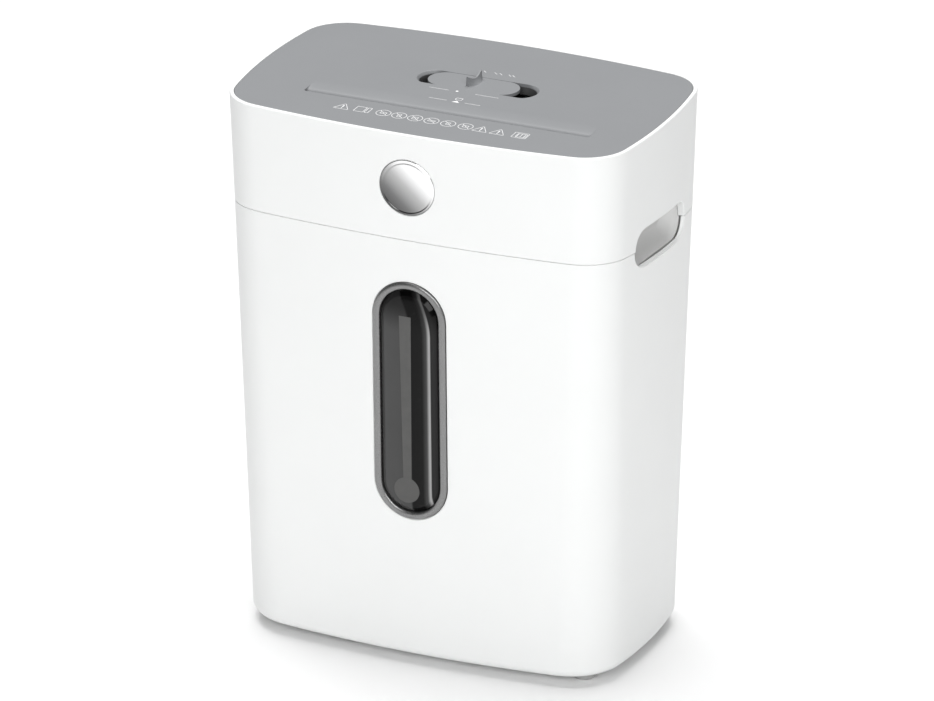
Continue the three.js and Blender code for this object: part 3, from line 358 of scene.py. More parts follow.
def inset_outline(points, inset):
    """A closed outline moved inwards along its own normals. Outlines run anticlockwise."""
    out = []
    for i, point in enumerate(points):
        before, after = points[i - 1], points[(i + 1) % len(points)]
        along = Vector((after[0] - before[0], after[1] - before[1]))
        if along.length < 1e-9:
            out.append(point)
            continue
        normal = Vector((-along.y, along.x)).normalized()
        out.append((point[0] + normal.x * inset, point[1] + normal.y * inset))
    return out


def prism(axis, outline, start, end, edge=0.0):
    """A drawing pushed along an axis, with its two rims softened by `edge`."""
    levels = [(start, 0), (end, 0)]
    if edge:
        low = [(start, edge), (start + edge * 0.3, edge * 0.3), (start + edge, 0)]
        high = [(end - edge, 0), (end - edge * 0.3, edge * 0.3), (end, edge)]
        levels = low + high
    rings = []
    for along, inset in levels:
        shape = inset_outline(outline, inset) if inset else outline
        rings.append([placed(axis, u, v, along) for u, v in shape])
    return stack(rings)


def block(x, y, z, edge=0.0, segments=2):
    verts = [(a, b, c) for a in x for b in y for c in z]
    faces = [(0, 1, 3, 2), (4, 6, 7, 5), (0, 4, 5, 1), (2, 3, 7, 6), (0, 2, 6, 4), (1, 5, 7, 3)]
    made = solid(verts, faces)
    if edge:
        soften(made, edge, segments)
    return made


def soften(made, edge, segments=2, least_degrees=30):
    """Rounds the sharp edges of a solid."""
    edit = bmesh.new()
    edit.from_mesh(made.data)
    sharp = [e for e in edit.edges if e.is_manifold and e.calc_face_angle(0) > math.radians(least_degrees)]
    bmesh.ops.bevel(
        edit, geom=sharp, offset=edge, segments=segments, profile=0.5, affect="EDGES", clamp_overlap=True
    )
    edit.to_mesh(made.data)
    edit.free()
    return made


def baked(made):
    """Applies a solid's modifiers."""
    bpy.context.view_layer.update()
    graph = bpy.context.evaluated_depsgraph_get()
    mesh = bpy.data.meshes.new_from_object(made.evaluated_get(graph))
    made.modifiers.clear()
    made.data = mesh
    return made


def combine(base, tools, operation):
    for tool in tools:
        modifier = base.modifiers.new("combine", "BOOLEAN")
        modifier.object = tool
        modifier.operation = operation
        modifier.solver = "EXACT"
    baked(base)
    for tool in tools:
        bpy.data.objects.remove(tool)
    return base


def cut(base, *tools):
    return combine(base, tools, "DIFFERENCE")


def join(base, *others):
    return combine(base, others, "UNION")


def common(base, other):
    return combine(base, [other], "INTERSECT")


def gather(parts):
    """One object holding several separate closed solids."""
    edit = bmesh.new()
    for part in parts:
        edit.from_mesh(part.data)
    mesh = bpy.data.meshes.new("gathered")
    edit.to_mesh(mesh)
    edit.free()
    for part in parts[1:]:
        bpy.data.objects.remove(part)
    parts[0].data = mesh
    return parts[0]


def moved(made, matrix):
    made.data.transform(matrix)
    return made


# ---- Materials ----


def new_material(name):
    material = bpy.data.materials.new(name)
    material.use_nodes = True
    material.node_tree.nodes.clear()
    return material, material.node_tree.nodes, material.node_tree.links


def multiplied(color, factor, nodes, links):
    mix = nodes.new("ShaderNodeMix")
    mix.data_type = "RGBA"
    mix.blend_type = "MULTIPLY"
    mix.inputs["Factor"].default_value = 1
    links.new(color, mix.inputs["A"])
    links.new(factor, mix.inputs["B"])
    return mix.outputs["Result"]


def maths(operation, values, nodes, links):
    node = nodes.new("ShaderNodeMath")
    node.operation = operation
    for socket, value in zip(node.inputs, values):
        if isinstance(value, (int, float)):
            socket.default_value = value
        else:
            links.new(value, socket)
    return node.outputs["Value"]


def ramp(value, stops, nodes, links):
    """A tone for a length: the stops are (length in mm, tone)."""
    low, high = stops[0][0], stops[-1][0]
    past_low = maths("SUBTRACT", [value, low * MM], nodes, links)
    share = maths("DIVIDE", [past_low, (high - low) * MM], nodes, links)
    node = nodes.new("ShaderNodeValToRGB")
    links.new(share, node.inputs["Fac"])
    elements = node.color_ramp.elements
    while len(elements) < len(stops):
        elements.new(0.5)
    for element, (place, tone) in zip(elements, stops):
        element.position = (place - low) / (high - low)
        element.color = (tone, tone, tone, 1)
    return node.outputs["Color"]


def painted_window_reflection(point, nodes, links):
    """The smoked pod's painted reflection and painted highlight: they run across the window and bend with the
    pod's round top.
    """
    split = nodes.new("ShaderNodeSeparateXYZ")
    links.new(point, split.inputs["Vector"])
    up = maths("SUBTRACT", [split.outputs["Z"], WINDOW_Z * MM], nodes, links)
    above = maths("SUBTRACT", [up, 0.82 * WINDOW_SPAN * MM], nodes, links)
    past = maths("MAXIMUM", [above, 0.0], nodes, links)
    bend = maths("MULTIPLY", [maths("MULTIPLY", [past, past], nodes, links), 9.0], nodes, links)
    across = maths("ADD", [split.outputs["X"], bend], nodes, links)
    tone = ramp(across, WINDOW_PAINTED_REFLECTION, nodes, links)
    # The painted reflection and highlight fade out towards the pod's round top.
    fade = nodes.new("ShaderNodeMapRange")
    fade.interpolation_type = "SMOOTHSTEP"
    fade.inputs["From Min"].default_value = 0.8 * WINDOW_SPAN * MM
    fade.inputs["From Max"].default_value = 1.2 * WINDOW_SPAN * MM
    fade.inputs["To Min"].default_value = 1
    fade.inputs["To Max"].default_value = 0.25
    links.new(up, fade.inputs["Value"])
    return multiplied(tone, fade.outputs["Result"], nodes, links)


def painted_badge_reflection(point, nodes, links):
    """A painted reflection on the badge, dark at its lower left and bright at its upper right."""
    turn = nodes.new("ShaderNodeVectorMath")
    turn.operation = "DOT_PRODUCT"
    turn.inputs[1].default_value = (0.66, 0, 0.75)
    links.new(point, turn.inputs[0])
    slant = maths("SUBTRACT", [turn.outputs["Value"], 0.75 * BADGE_Z * MM], nodes, links)
    return ramp(slant, BADGE_PAINTED_REFLECTION, nodes, links)


def surface(
    name,
    color,
    roughness,
    metallic=0.0,
    grain=0.35,
    depth=0.02,
    mottle=0.03,
    patch=35,
    spread=0.06,
    stretch=(1, 1, 1),
    specular=0.5,
    flecks=0.0,
    fleck_color=(0.5, 0.5, 0.5),
    shade=None,
):
    """A moulded or machined surface: `grain`, `patch` and the grain's `depth` are in mm."""
    material, nodes, links = new_material(name)
    shader = nodes.new("ShaderNodeBsdfPrincipled")
    output = nodes.new("ShaderNodeOutputMaterial")
    links.new(shader.outputs["BSDF"], output.inputs["Surface"])
    shader.inputs["Metallic"].default_value = metallic
    shader.inputs["Specular IOR Level"].default_value = specular

    coordinates = nodes.new("ShaderNodeTexCoord")
    mapping = nodes.new("ShaderNodeMapping")
    mapping.inputs["Scale"].default_value = stretch
    links.new(coordinates.outputs["Object"], mapping.inputs["Vector"])

    def noise(size, detail):
        node = nodes.new("ShaderNodeTexNoise")
        node.inputs["Scale"].default_value = 1 / (size * MM)
        node.inputs["Detail"].default_value = detail
        links.new(mapping.outputs["Vector"], node.inputs["Vector"])
        return node.outputs["Fac"]

    def ranged(value, low, high):
        node = nodes.new("ShaderNodeMapRange")
        node.inputs["From Min"].default_value = 0.3
        node.inputs["From Max"].default_value = 0.7
        node.inputs["To Min"].default_value = low
        node.inputs["To Max"].default_value = high
        links.new(value, node.inputs["Value"])
        return node.outputs["Result"]

    fine, broad = noise(grain, 3), noise(patch, 4)

    def tone(factor):
        return (*[min(1.0, channel * factor) for channel in color], 1)

    tint = nodes.new("ShaderNodeMix")
    tint.data_type = "RGBA"
    tint.inputs["A"].default_value = tone(1 - mottle)
    tint.inputs["B"].default_value = tone(1 + mottle)
    links.new(ranged(broad, 0, 1), tint.inputs["Factor"])
    final_color = tint.outputs["Result"]
    if flecks:
        speck = nodes.new("ShaderNodeMix")
        speck.data_type = "RGBA"
        speck.inputs["B"].default_value = (*fleck_color, 1)
        threshold = nodes.new("ShaderNodeMapRange")
        threshold.inputs["From Min"].default_value = 0.62
        threshold.inputs["From Max"].default_value = 0.7
        threshold.inputs["To Max"].default_value = flecks
        links.new(noise(grain * 2.2, 2), threshold.inputs["Value"])
        links.new(threshold.outputs["Result"], speck.inputs["Factor"])
        links.new(final_color, speck.inputs["A"])
        final_color = speck.outputs["Result"]
    # Painted light and shade: `shade` multiplies the colour by a pattern laid out in the object's
    # coordinates.
    if shade:
        shading = shade(coordinates.outputs["Object"], nodes, links)
        final_color = multiplied(final_color, shading, nodes, links)
    links.new(final_color, shader.inputs["Base Color"])
    links.new(ranged(fine, roughness - spread, roughness + spread), shader.inputs["Roughness"])

    bump = nodes.new("ShaderNodeBump")
    bump.inputs["Strength"].default_value = 1.0
    bump.inputs["Distance"].default_value = depth * MM
    links.new(fine, bump.inputs["Height"])
    links.new(bump.outputs["Normal"], shader.inputs["Normal"])
    return material


SURFACES = {
    "case_white": surface(
        "moulded_white", (0.86, 0.87, 0.865), 0.42, grain=0.5, depth=0.008, mottle=0.006, patch=60
    ),
    "case_grey": surface(
        "textured_grey", (0.231, 0.237, 0.246), 0.55, grain=0.45, depth=0.03, mottle=0.015, patch=50
    ),
    "window_trim": surface(
        "satin_metallised", (0.24, 0.24, 0.24), 0.3, 0.85, grain=0.6, depth=0.004, mottle=0.03, patch=20
    ),
    # The chrome's colour carries a painted reflection, dark at its lower left and bright at its upper right.
    "badge_chrome": surface(
        "bright_chrome", (0.99, 0.995, 1), 0.16, 1.0, grain=1.5, depth=0.001, mottle=0.02, patch=12,
        spread=0.03, shade=painted_badge_reflection
    ),
    # The smoked pane's colour carries a painted reflection on its left and a painted highlight line near its
    # right edge.
    "smoked_window": surface(
        "smoked_acrylic", (1, 1, 1), 0.07, grain=4, depth=0.002, mottle=0.05, patch=25, spread=0.02,
        specular=0.12, shade=painted_window_reflection
    ),
    "rubber": surface("grey_rubber", (0.42, 0.42, 0.415), 0.75, grain=0.3, depth=0.05, mottle=0.05, patch=4),
    "dark_plastic": surface(
        "glass_filled_black", (0.025, 0.026, 0.028), 0.5, grain=0.4, depth=0.04, mottle=0.15, patch=9,
        flecks=0.25, fleck_color=(0.09, 0.09, 0.09)
    ),
    "plate_steel": surface(
        "zinc_plated_sheet", (0.5, 0.51, 0.52), 0.34, 1.0, grain=0.8, depth=0.01, mottle=0.12, patch=7,
        stretch=(1, 0.08, 1)
    ),
    "hard_steel": surface(
        "oiled_tool_steel", (0.33, 0.34, 0.36), 0.3, 1.0, grain=0.5, depth=0.012, mottle=0.18, patch=5,
        stretch=(0.12, 1, 1)
    ),
    "bush_bronze": surface(
        "sintered_bronze", (0.5, 0.32, 0.14), 0.45, 1.0, grain=0.25, depth=0.03, mottle=0.2, patch=2,
        flecks=0.6, fleck_color=(0.16, 0.1, 0.05)
    ),
    "gear_nylon": surface(
        "natural_nylon", (0.74, 0.71, 0.61), 0.42, grain=0.6, depth=0.012, mottle=0.04, patch=8
    ),
    "circuit_board": surface(
        "solder_mask", (0.015, 0.1, 0.045), 0.32, grain=0.7, depth=0.03, mottle=0.25, patch=3
    ),
    "winding": surface(
        "enamelled_copper", (0.5, 0.2, 0.07), 0.3, 0.9, grain=0.55, depth=0.12, mottle=0.25, patch=2,
        stretch=(0.15, 1, 1)
    ),
    "magnet": surface("ferrite", (0.06, 0.06, 0.065), 0.65, grain=0.3, depth=0.04, mottle=0.25, patch=3),
}
# A grey lighter than the smoked pane, for the strip and disc that stand as a painted reflection in the pod.
REFLECTION_STRIP_GREY = surface(
    "painted_reflection_strip", (0.1, 0.1, 0.098), 0.4, grain=0.5, depth=0.01, mottle=0.06, patch=8, specular=0.2
)
LIGHT_GREY = surface("moulded_grey", (0.74, 0.74, 0.735), 0.5, grain=0.45, depth=0.02, mottle=0.015, patch=50)
# Painted shade for the deep faces of the slider's pocket.
POCKET_PAINTED_SHADE = surface(
    "painted_pocket_shade", (0.085, 0.085, 0.087), 0.6, grain=0.45, depth=0.03, mottle=0.05, patch=20
)
INK = surface("white_ink", (0.86, 0.86, 0.86), 0.6, grain=0.15, depth=0.01, mottle=0.04, patch=2)

# ---- Finishing a piece ----

BODY_OF = {node: body for body, names in record["behaviour"]["bodies"].items() for node in names}
SLOT_OF = {row["node"]: row["material_slot"] for row in record["subparts"]}


def finished(made, name, body, slot, material=None, smooth=38):
    """Scales a solid to metres, smooths it, gives it its material and makes it ride on its body."""
    made.name = name
    made.data.name = name
    made.data.transform(Matrix.Scale(MM, 4))
    made.data.materials.clear()
    made.data.materials.append(material or SURFACES[slot])
    made.data.shade_smooth()
    made.data.set_sharp_from_angle(angle=math.radians(smooth))
    weighted = made.modifiers.new("weighted", "WEIGHTED_NORMAL")
    weighted.keep_sharp = True
    weighted.weight = 80
    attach(made, body)
    return made


def model(node, made, material=None, smooth=38):
    """A finished piece that stands for one CAD node."""
    piece = finished(made, f"{node}_model", BODY_OF[node], SLOT_OF[node], material, smooth)
    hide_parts(node)
    return piece


# ---- Bin ----


def quarter(z, inset, radius, start, end, steps):
    """A rounded edge as (z, inset) points, at angles from `start` to `end` in quarter turns."""
    angles = [TAU / 4 * (start + (end - start) * k / steps) for k in range(steps + 1)]
    return [(z - radius * math.cos(a), inset - radius * math.sin(a)) for a in angles]


def grip_outline(margin, height_margin=None):
    """A grip's outline in YZ, grown by its margins and tilted with the seam."""
    higher = margin if height_margin is None else height_margin
    length, height = GRIP_LENGTH + margin, GRIP_HEIGHT + higher
    corner = min(GRIP_CORNER + max(margin, 0), height - 0.5)
    flat = rounded_box(0, 0, length, height, corner)
    turn = -math.atan(SEAM_SLOPE)
    cosine, sine = math.cos(turn), math.sin(turn)
    return [(GRIP_Y + y * cosine - z * sine, GRIP_Z + y * sine + z * cosine) for y, z in flat]


def both_sides(make):
    """The same solid for the right side and, reflected, for the left side."""
    left = moved(make(), Matrix.Scale(-1, 4, (1, 0, 0)))
    left.data.flip_normals()
    return [make(), left]


def wall_at(y, z):
    """How far out the casing's right side is at a point of it."""
    inset = bin_inset(z) if z < seam_height(y) else TAPER * head_share(z)
    return side_wall(y, inset)


def grip_cutter(round_edge, inner=138):
    """Cuts a grip through the right wall, with the wall's outer edge rounded."""
    rings = [[(inner, y, z) for y, z in grip_outline(0)]]
    steps = 7
    for k in range(steps + 1):
        angle = math.radians(82) * k / steps
        out = round_edge * (math.sin(angle) - 1)
        outline = grip_outline(round_edge * (1 - math.cos(angle)))
        rings.append([(wall_at(y, z) + out, y, z) for y, z in outline])
    rings.append([(wall_at(y, z) + 4, y, z) for y, z in grip_outline(round_edge * 1.4)])
    return stack(rings)


WINDOW_TILT = math.atan(BIN_DRAFT / (SEAM_Z - BIN_FLOOR))
WINDOW_PLACE = (0, bin_inset(WINDOW_Z) - DEPTH / 2, WINDOW_Z)
WINDOW_FRAME = Matrix.Translation(WINDOW_PLACE) @ Matrix.Rotation(TAU / 4 + WINDOW_TILT, 4, "X")


def window_cutter(round_edge):
    """Cuts the window through the front wall, with the wall's outer edge rounded."""
    inset = bin_inset(WINDOW_Z)
    crown = front_wall(0, inset)

    def ring(margin, out):
        outline = stadium(WINDOW_WIDTH + GAP + margin)
        return [(x, y, front_wall(x, inset) - crown + out) for x, y, _ in outline]

    rings = [stadium(WINDOW_WIDTH + GAP, -14)]
    steps = 6
    for k in range(steps + 1):
        angle = math.radians(82) * k / steps
        rings.append(ring(round_edge * (1 - math.cos(angle)), round_edge * (math.sin(angle) - 1)))
    rings.append(ring(round_edge * 1.4, 4))
    return moved(stack(rings), WINDOW_FRAME)


def arc_angles(start, end, steps):
    return [start + (end - start) * k / steps for k in range(steps + 1)]


def quarter_angles(steps):
    return arc_angles(0, TAU / 4, steps)


def bin_shell():
    rim = 0.6
    outer = quarter(BIN_FLOOR + BIN_EDGE, BIN_EDGE, BIN_EDGE, 0, 1, 12)
    tall = divided([outer[-1], (SEAM_Z - rim, 0)], 12, closed=False)[1:-1]
    rim_out = [(SEAM_Z - rim * (1 - math.sin(a)), rim * (1 - math.cos(a))) for a in quarter_angles(4)]
    rim_in = [(SEAM_Z - rim * (1 - math.cos(a)), WALL - rim * (1 - math.sin(a))) for a in quarter_angles(4)]
    inner_edge = BIN_EDGE - WALL
    inner_floor = BIN_FLOOR + WALL
    inner = quarter(inner_floor + inner_edge, WALL + inner_edge, inner_edge, 1, 0, 8)
    deep = divided([(SEAM_Z - rim, WALL), inner[0]], 30, closed=False)[1:-1]
    shell = stack([bin_ring(z, inset) for z, inset in outer + tall + rim_out + rim_in + deep + inner])
    ledge = block((-6, 6), (INTERLOCK_Y - 1.6, INTERLOCK_Y + 3.6), (309, LEDGE_TOP), 0.5)
    stems = [turned("z", [(0, 0), (3.3, 0), (3.3, 12), (0, 12)], place, 24, 0) for place in FEET.values()]
    join(shell, ledge)
    grips = both_sides(lambda: grip_cutter(GRIP_EDGE_BIN))
    return cut(shell, window_cutter(WINDOW_EDGE), *grips, *stems)


def window_bezel():
    """A half-round satin ring with a flange behind the wall, swept round the window."""
    inner = WINDOW_WIDTH - WINDOW_RING
    middle = (WINDOW_WIDTH + inner) / 2
    half_ring = WINDOW_RING / 2
    angles = arc_angles(0, TAU / 2, 14)
    crest = [(middle + half_ring * math.cos(a), 1.5 * math.sin(a) - 0.5) for a in angles]
    profile = [(WINDOW_WIDTH, -3.8), *crest, (inner, -6), (WINDOW_FLANGE, -6), (WINDOW_FLANGE, -3.8)]
    return moved(stack([stadium(width, z) for width, z in profile], closed=True), WINDOW_FRAME)


def window_pane():
    """The smoked pod: a flange behind the bezel, a steep flank and a slightly crowned face."""
    front = [(29.5, -8.3), (29.5, -6.3), (22.7, -6.3), (22.7, -2.2), (18.9, 1.2), (14, 2.2), (7, 2.3)]
    rounded = fillet(front, [0.2, 0.3, 0.3, 0.6, 0.3, 3.5, 0], 7, closed=False)
    crown = [stadium(width, z) for width, z in rounded] + [stadium(0.02, 2.32)]
    back = [stadium(18.4, -0.6), stadium(18.4, -8.3)]
    return moved(stack(back + crown), WINDOW_FRAME)


def window_painted_reflection_strip():
    """A painted reflection in the pod: a lighter tapered strip that ends in a disc, set in the smoked pane.
    """
    low, high = 1.6, 2.4
    rib = prism("z", [(-4.6, -62), (1.8, -62), (2.7, 67), (-6.6, 67)], low, high, 0.1)
    disc = turned("z", [(0, low), (9.9, low), (9.9, high + 0.06), (0, high + 0.06)], (-2, -69.1), 64, 0.2)
    return moved(gather([rib, disc]), WINDOW_FRAME)


def foot(place):
    floor_top = BIN_FLOOR + WALL
    pad = [(0, 0.4), (5.2, 0.4), (6, 0), (8, 0), (9, 1), (9, BIN_FLOOR - GAP)]
    neck = [(3, BIN_FLOOR - GAP), (3, floor_top + GAP)]
    button = [(3.8, floor_top + GAP), (2, floor_top + 2), (0, floor_top + 2)]
    return turned("z", pad + neck + button, place, 48, 0.35)


model("bin_shell", bin_shell())
model("window_bezel", window_bezel())
model("window_pane", window_pane())
# The lighter strip and disc in the pod are a painted reflection.
finished(window_painted_reflection_strip(), "window_painted_reflection_strip", "bin", "smoked_window", REFLECTION_STRIP_GREY)
for name, place in FEET.items():
    model(name, foot(place))

# ---- Head casing ----


def grip_lip():
    """The head's own return round the upper half of a grip, ending at the seam."""
    outline = grip_outline(2.2)
    inner = [(side_wall(y) - GRIP_LIP, y, z) for y, z in outline]
    outer = [(wall_at(y, z) - 1.2, y, z) for y, z in outline]
    side = [(-60, seam_height(-60) + GAP), (60, seam_height(60) + GAP), (60, 360), (-60, 360)]
    return common(stack([inner, outer]), prism("x", side, 140, 170))


BADGE_TILT = math.atan(TAPER / (HEIGHT - SEAM_Z))
BADGE_PLACE = (0, TAPER * head_share(BADGE_Z) - DEPTH / 2, BADGE_Z)
BADGE_FRAME = Matrix.Translation(BADGE_PLACE) @ Matrix.Rotation(BADGE_TILT, 4, "X")


def head_shell():
    bottom = SEAM_Z + GAP
    seat = PANEL_TOP - PANEL_THICKNESS - GAP
    rim = [(HEIGHT, 0), (HEIGHT, HEAD_RIM), (seat, HEAD_RIM)]
    shelf = [(seat, HEAD_LEDGE), (HEAD_LEDGE_Z, HEAD_LEDGE), (HEAD_LEDGE_Z, WALL)]
    corners = [(bottom, 0), *rim, *shelf, (bottom, WALL)]
    rounded = fillet(corners, [0.5, HEAD_RIM_ROUND, 0.35, 0.2, 0.3, 0.3, 1.0, 0.4], 7)
    shell = stack([head_ring(z, inset) for z, inset in divided(rounded, 10)], closed=True)
    join(shell, *both_sides(grip_lip))
    hole = BADGE_RADIUS + GAP
    seat_profile = [
        (0, BADGE_RECESS), (hole, BADGE_RECESS), (hole, 0.5), (hole + 0.15, 0.2), (hole + 0.5, 0.05),
        (hole + 1.3, -10), (0, -10),
    ]
    badge_seat = moved(turned("y", seat_profile, (0, 0), 96, 0), BADGE_FRAME)
    inlet_profile = [(0, 80), (INLET_RADIUS + GAP, 80), (INLET_RADIUS + GAP, 110), (0, 110)]
    inlet_hole = turned("y", inlet_profile, (INLET_X, INLET_Z), 64, 0)
    return cut(shell, *both_sides(lambda: grip_cutter(GRIP_EDGE_HEAD)), badge_seat, inlet_hole)


def badge():
    back = BADGE_RECESS - GAP
    profile = [
        (0, -0.05), (10, 0.02), (17.6, 0.16), (18.6, 0.4), (19.2, 0.38), (19.8, 0),
        (BADGE_RADIUS, 0.1), (BADGE_RADIUS, back), (0, back),
    ]
    return moved(turned("y", profile, (0, 0), 128, 0.5), BADGE_FRAME)


def cord_inlet():
    outside = DEPTH / 2 - TAPER * head_share(INLET_Z) - FRONT_BULGE * (INLET_X / (WIDTH / 2)) ** 2
    inside = outside - WALL - 1.6
    profile = [
        (INLET_BORE, inside - 3), (INLET_RADIUS + 3, inside - 3), (INLET_RADIUS + 3, inside),
        (INLET_RADIUS, inside), (INLET_RADIUS, outside - 0.6), (INLET_BORE, outside - 0.6),
    ]
    return turned("y", profile, (INLET_X, INLET_Z), 64, 0.7, closed=True)


def pocket_tub(margin, low, high):
    return prism("z", obround(POCKET_X, SLIDER_Y, POCKET_LENGTH + margin, POCKET_WIDTH + margin), low, high)


def pocket_cutter():
    """The slider's pocket: crisp along its sides, with broad dished ends."""
    straight = POCKET_LENGTH - POCKET_WIDTH
    outline = obround(POCKET_X, SLIDER_Y, POCKET_LENGTH, POCKET_WIDTH)

    def ring(out, z):
        points = []
        for x, y in outline:
            past = max(0, abs(x - POCKET_X) - straight)
            share = min(1, past / (0.55 * POCKET_WIDTH))
            centre = POCKET_X + math.copysign(min(abs(x - POCKET_X), straight), x - POCKET_X)
            away = Vector((x - centre, y - SLIDER_Y)).normalized() * (out * (0.02 + 0.98 * share * share))
            points.append((x + away.x, y + away.y, z))
        return points

    return stack([ring(0, 400), *[ring(out, PANEL_TOP - depth) for out, depth in POCKET_DISH]])


def feed_slot_cutter():
    """The paper slot: a crisp front edge, a broad shallow lead-in behind it and round ends."""
    def ring(z, front, rear, end):
        outline = [
            (SLOT_X - SLOT_LENGTH - end, SLOT_Y - SLOT_WIDTH - front),
            (SLOT_X + SLOT_LENGTH + end, SLOT_Y - SLOT_WIDTH - front),
            (SLOT_X + SLOT_LENGTH + end, SLOT_Y + SLOT_WIDTH + rear),
            (SLOT_X - SLOT_LENGTH - end, SLOT_Y + SLOT_WIDTH + rear),
        ]
        return level(fillet(outline, [3.2, 3.2, 3.2 + rear / 3, 3.2 + rear / 3], 8), z)

    rings = [ring(400, -0.1, -2.7, 0), ring(PANEL_TOP - 4.4, -0.1, -2.7, 0)]
    rings += [ring(PANEL_TOP - depth, 0, rear, end) for depth, rear, end in SLOT_LEAD_IN]
    return stack(rings + [ring(PANEL_TOP + 0.03, 0.15, 14.5, 0.5), ring(PANEL_TOP + 2, 0.2, 15.5, 0.8)])


def top_panel():
    bottom = PANEL_TOP - PANEL_THICKNESS
    corner = HEAD_TOP_CORNER
    levels = [(bottom, PANEL_INSET + 0.3), (bottom + 0.3, PANEL_INSET)]
    for angle in quarter_angles(4):
        levels.append((PANEL_TOP - 0.4 * (1 - math.sin(angle)), PANEL_INSET + 0.4 * (1 - math.cos(angle))))
    plate = stack([level(plan(inset, corner - inset), z) for z, inset in levels])
    funnel = block(
        (SLOT_X - SLOT_LENGTH - 0.6, SLOT_X + SLOT_LENGTH + 0.6),
        (SLOT_Y - SLOT_THROAT, SLOT_Y + SLOT_THROAT),
        (409.6, bottom + 0.4),
    )
    boss_foot, boss_top = TOWER_TOP + GAP, bottom + 0.5
    boss = [(0, boss_foot), (4, boss_foot), (4, boss_top), (0, boss_top)]
    bosses = [turned("z", boss, place, 32, 0) for place in TOWERS]
    bores = [turned("z", [(0, 390), (1.9, 390), (1.9, 412), (0, 412)], place, 24, 0) for place in TOWERS]
    join(plate, pocket_tub(1.8, 407.5, bottom + 0.4), funnel, *bosses)
    return cut(plate, pocket_cutter(), feed_slot_cutter(), *bores)


def slider_fin():
    """The thumb fin: it bends to the right near its front, dips in its middle and is dished on the right."""
    base = PANEL_TOP - 0.6
    rings = []
    stations = 20
    for k in range(stations + 1):
        s = k / stations
        y = FIN_Y + FIN_HALF_LENGTH * (2 * s - 1)
        bend = 3 * s + 8 * s * (1 - s) ** 2
        crest = PANEL_TOP + FIN_HEIGHT - FIN_DIP * s * (1 - s)
        cove = 0.4 + FIN_COVE * s * (1 - s)
        shape = [(-3.5 + 0.8 * t**0.6, t) for t in (0, 0.04, 0.12, 0.3, 0.6, 0.9)]
        shape += [(-2.55, 0.98), (-2.2, 1.0), (-1.7, 1.0), (-1.35, 0.97)]
        shape += [(-1.3 + cove * (1 - t) ** 1.8, t) for t in (0.9, 0.7, 0.5, 0.35, 0.22, 0.12, 0.05, 0)]
        rings.append([(SLIDER_X + bend + x, y, base + (crest - base) * t) for x, t in shape])
    return stack(rings)


def mode_slider():
    top = PANEL_TOP - 0.1
    outline = obround(SLIDER_X, SLIDER_Y, SLIDER_LENGTH, SLIDER_WIDTH + 0.3)
    levels = [(413, 0.3), (413.3, 0)]
    levels += [(top - 0.3 * (1 - math.sin(a)), 0.3 * (1 - math.cos(a))) for a in quarter_angles(5)]
    rings = [level(inset_outline(outline, inset) if inset else outline, z) for z, inset in levels]
    stem = block((SLIDER_X - 4, SLIDER_X + 4), (SLIDER_Y - 1.8, SLIDER_Y + 1.8), (400.5, 414), 0.4)
    return join(stack(rings), slider_fin(), stem)


def ribbon(points, width=0.38, closed=True):
    """A thin printed line along points on the panel."""
    count = len(points)
    rings = []
    for i, (x, y) in enumerate(points):
        before = points[i - 1] if closed or i else points[i]
        after = points[(i + 1) % count] if closed or i < count - 1 else points[i]
        along = Vector((after[0] - before[0], after[1] - before[1])).normalized()
        side = Vector((-along.y, along.x)) * width / 2
        left, right = (x - side.x, y - side.y), (x + side.x, y + side.y)
        rings.append([(*left, INK_LOW), (*right, INK_LOW), (*right, INK_HIGH), (*left, INK_HIGH)])
    return stack(rings, closed)


def segment(start, end, width=0.38):
    return ribbon([start, end], width, closed=False)


def patch(outline):
    return prism("z", outline, INK_LOW, INK_HIGH)


def printed_marks():
    """Plain signs beside the slot and the slider: outlines and bars only, with no lettering."""
    row = MARKS_Y
    parts = []

    def ring_at(x, bar):
        radius = 5.4
        parts.append(ribbon(circle(x, row, radius, 40)))
        reach = radius * 0.7
        parts.append(segment((x - reach, row + reach), (x + reach, row - reach)))
        parts.append(ribbon(rounded_box(x, row, *bar, 0.4, 3)))

    def triangle_at(x, half=5.8):
        corners = [(x - half, row - 4.8), (x + half, row - 4.8), (x, row + 5.4)]
        parts.append(ribbon(divided(fillet(corners, 1.2), 2)))
        parts.append(patch(rounded_box(x, row - 2.8, 0.5, 0.5, 0.4, 3)))
        parts.append(segment((x, row - 1.4), (x, row + 2.4), 0.8))

    def sheet_at(x, half_width, half_height):
        parts.append(ribbon(rounded_box(x, row, half_width, half_height, 0.6, 3)))

    triangle_at(-64.3)
    sheet_at(-50.8, 3.6, 4.6)
    sheet_at(-44.6, 1.4, 4.6)
    bars = [(2.4, 1.2), (1.1, 2.6), (2.0, 2.0), (2.8, 0.9), (1.4, 1.9), (2.2, 1.5)]
    for x, bar in zip((-32.7, -20.4, -8.0, 4.7, 17.7, 31.2), bars):
        ring_at(x, bar)
    triangle_at(43.4)
    triangle_at(56.8)
    sheet_at(73.6, 5.4, 4.8)
    sheet_at(74.4, 3.6, 3.2)
    for x in (71.6, 74.2, 76.8):
        parts.append(segment((x, row - 3.6), (x, row + 3.6)))

    # Marks beside the slider.
    parts.append(patch(circle(-2.5, -6, 1.0, 24)))
    parts.append(segment((-24, -6.4), (-9, -6.4), 0.3))
    parts.append(segment((12, -6.4), (30, -6.4), 0.3))
    parts.append(patch([(2.4, -26.4), (8.2, -26.4), (5.3, -23.2)]))
    parts.append(ribbon(rounded_box(5.3, -19.6, 2.4, 1.8, 0.5, 3)))
    parts.append(segment((-16, -25), (-2, -25), 0.3))
    parts.append(segment((12, -25), (24, -25), 0.3))
    for x in (0, 8.5, 12.5, 19.5, 22.5):
        parts.append(segment((x - 1.4, 38.6), (x + 1.4, 36.2), 0.4))
    return gather(parts)


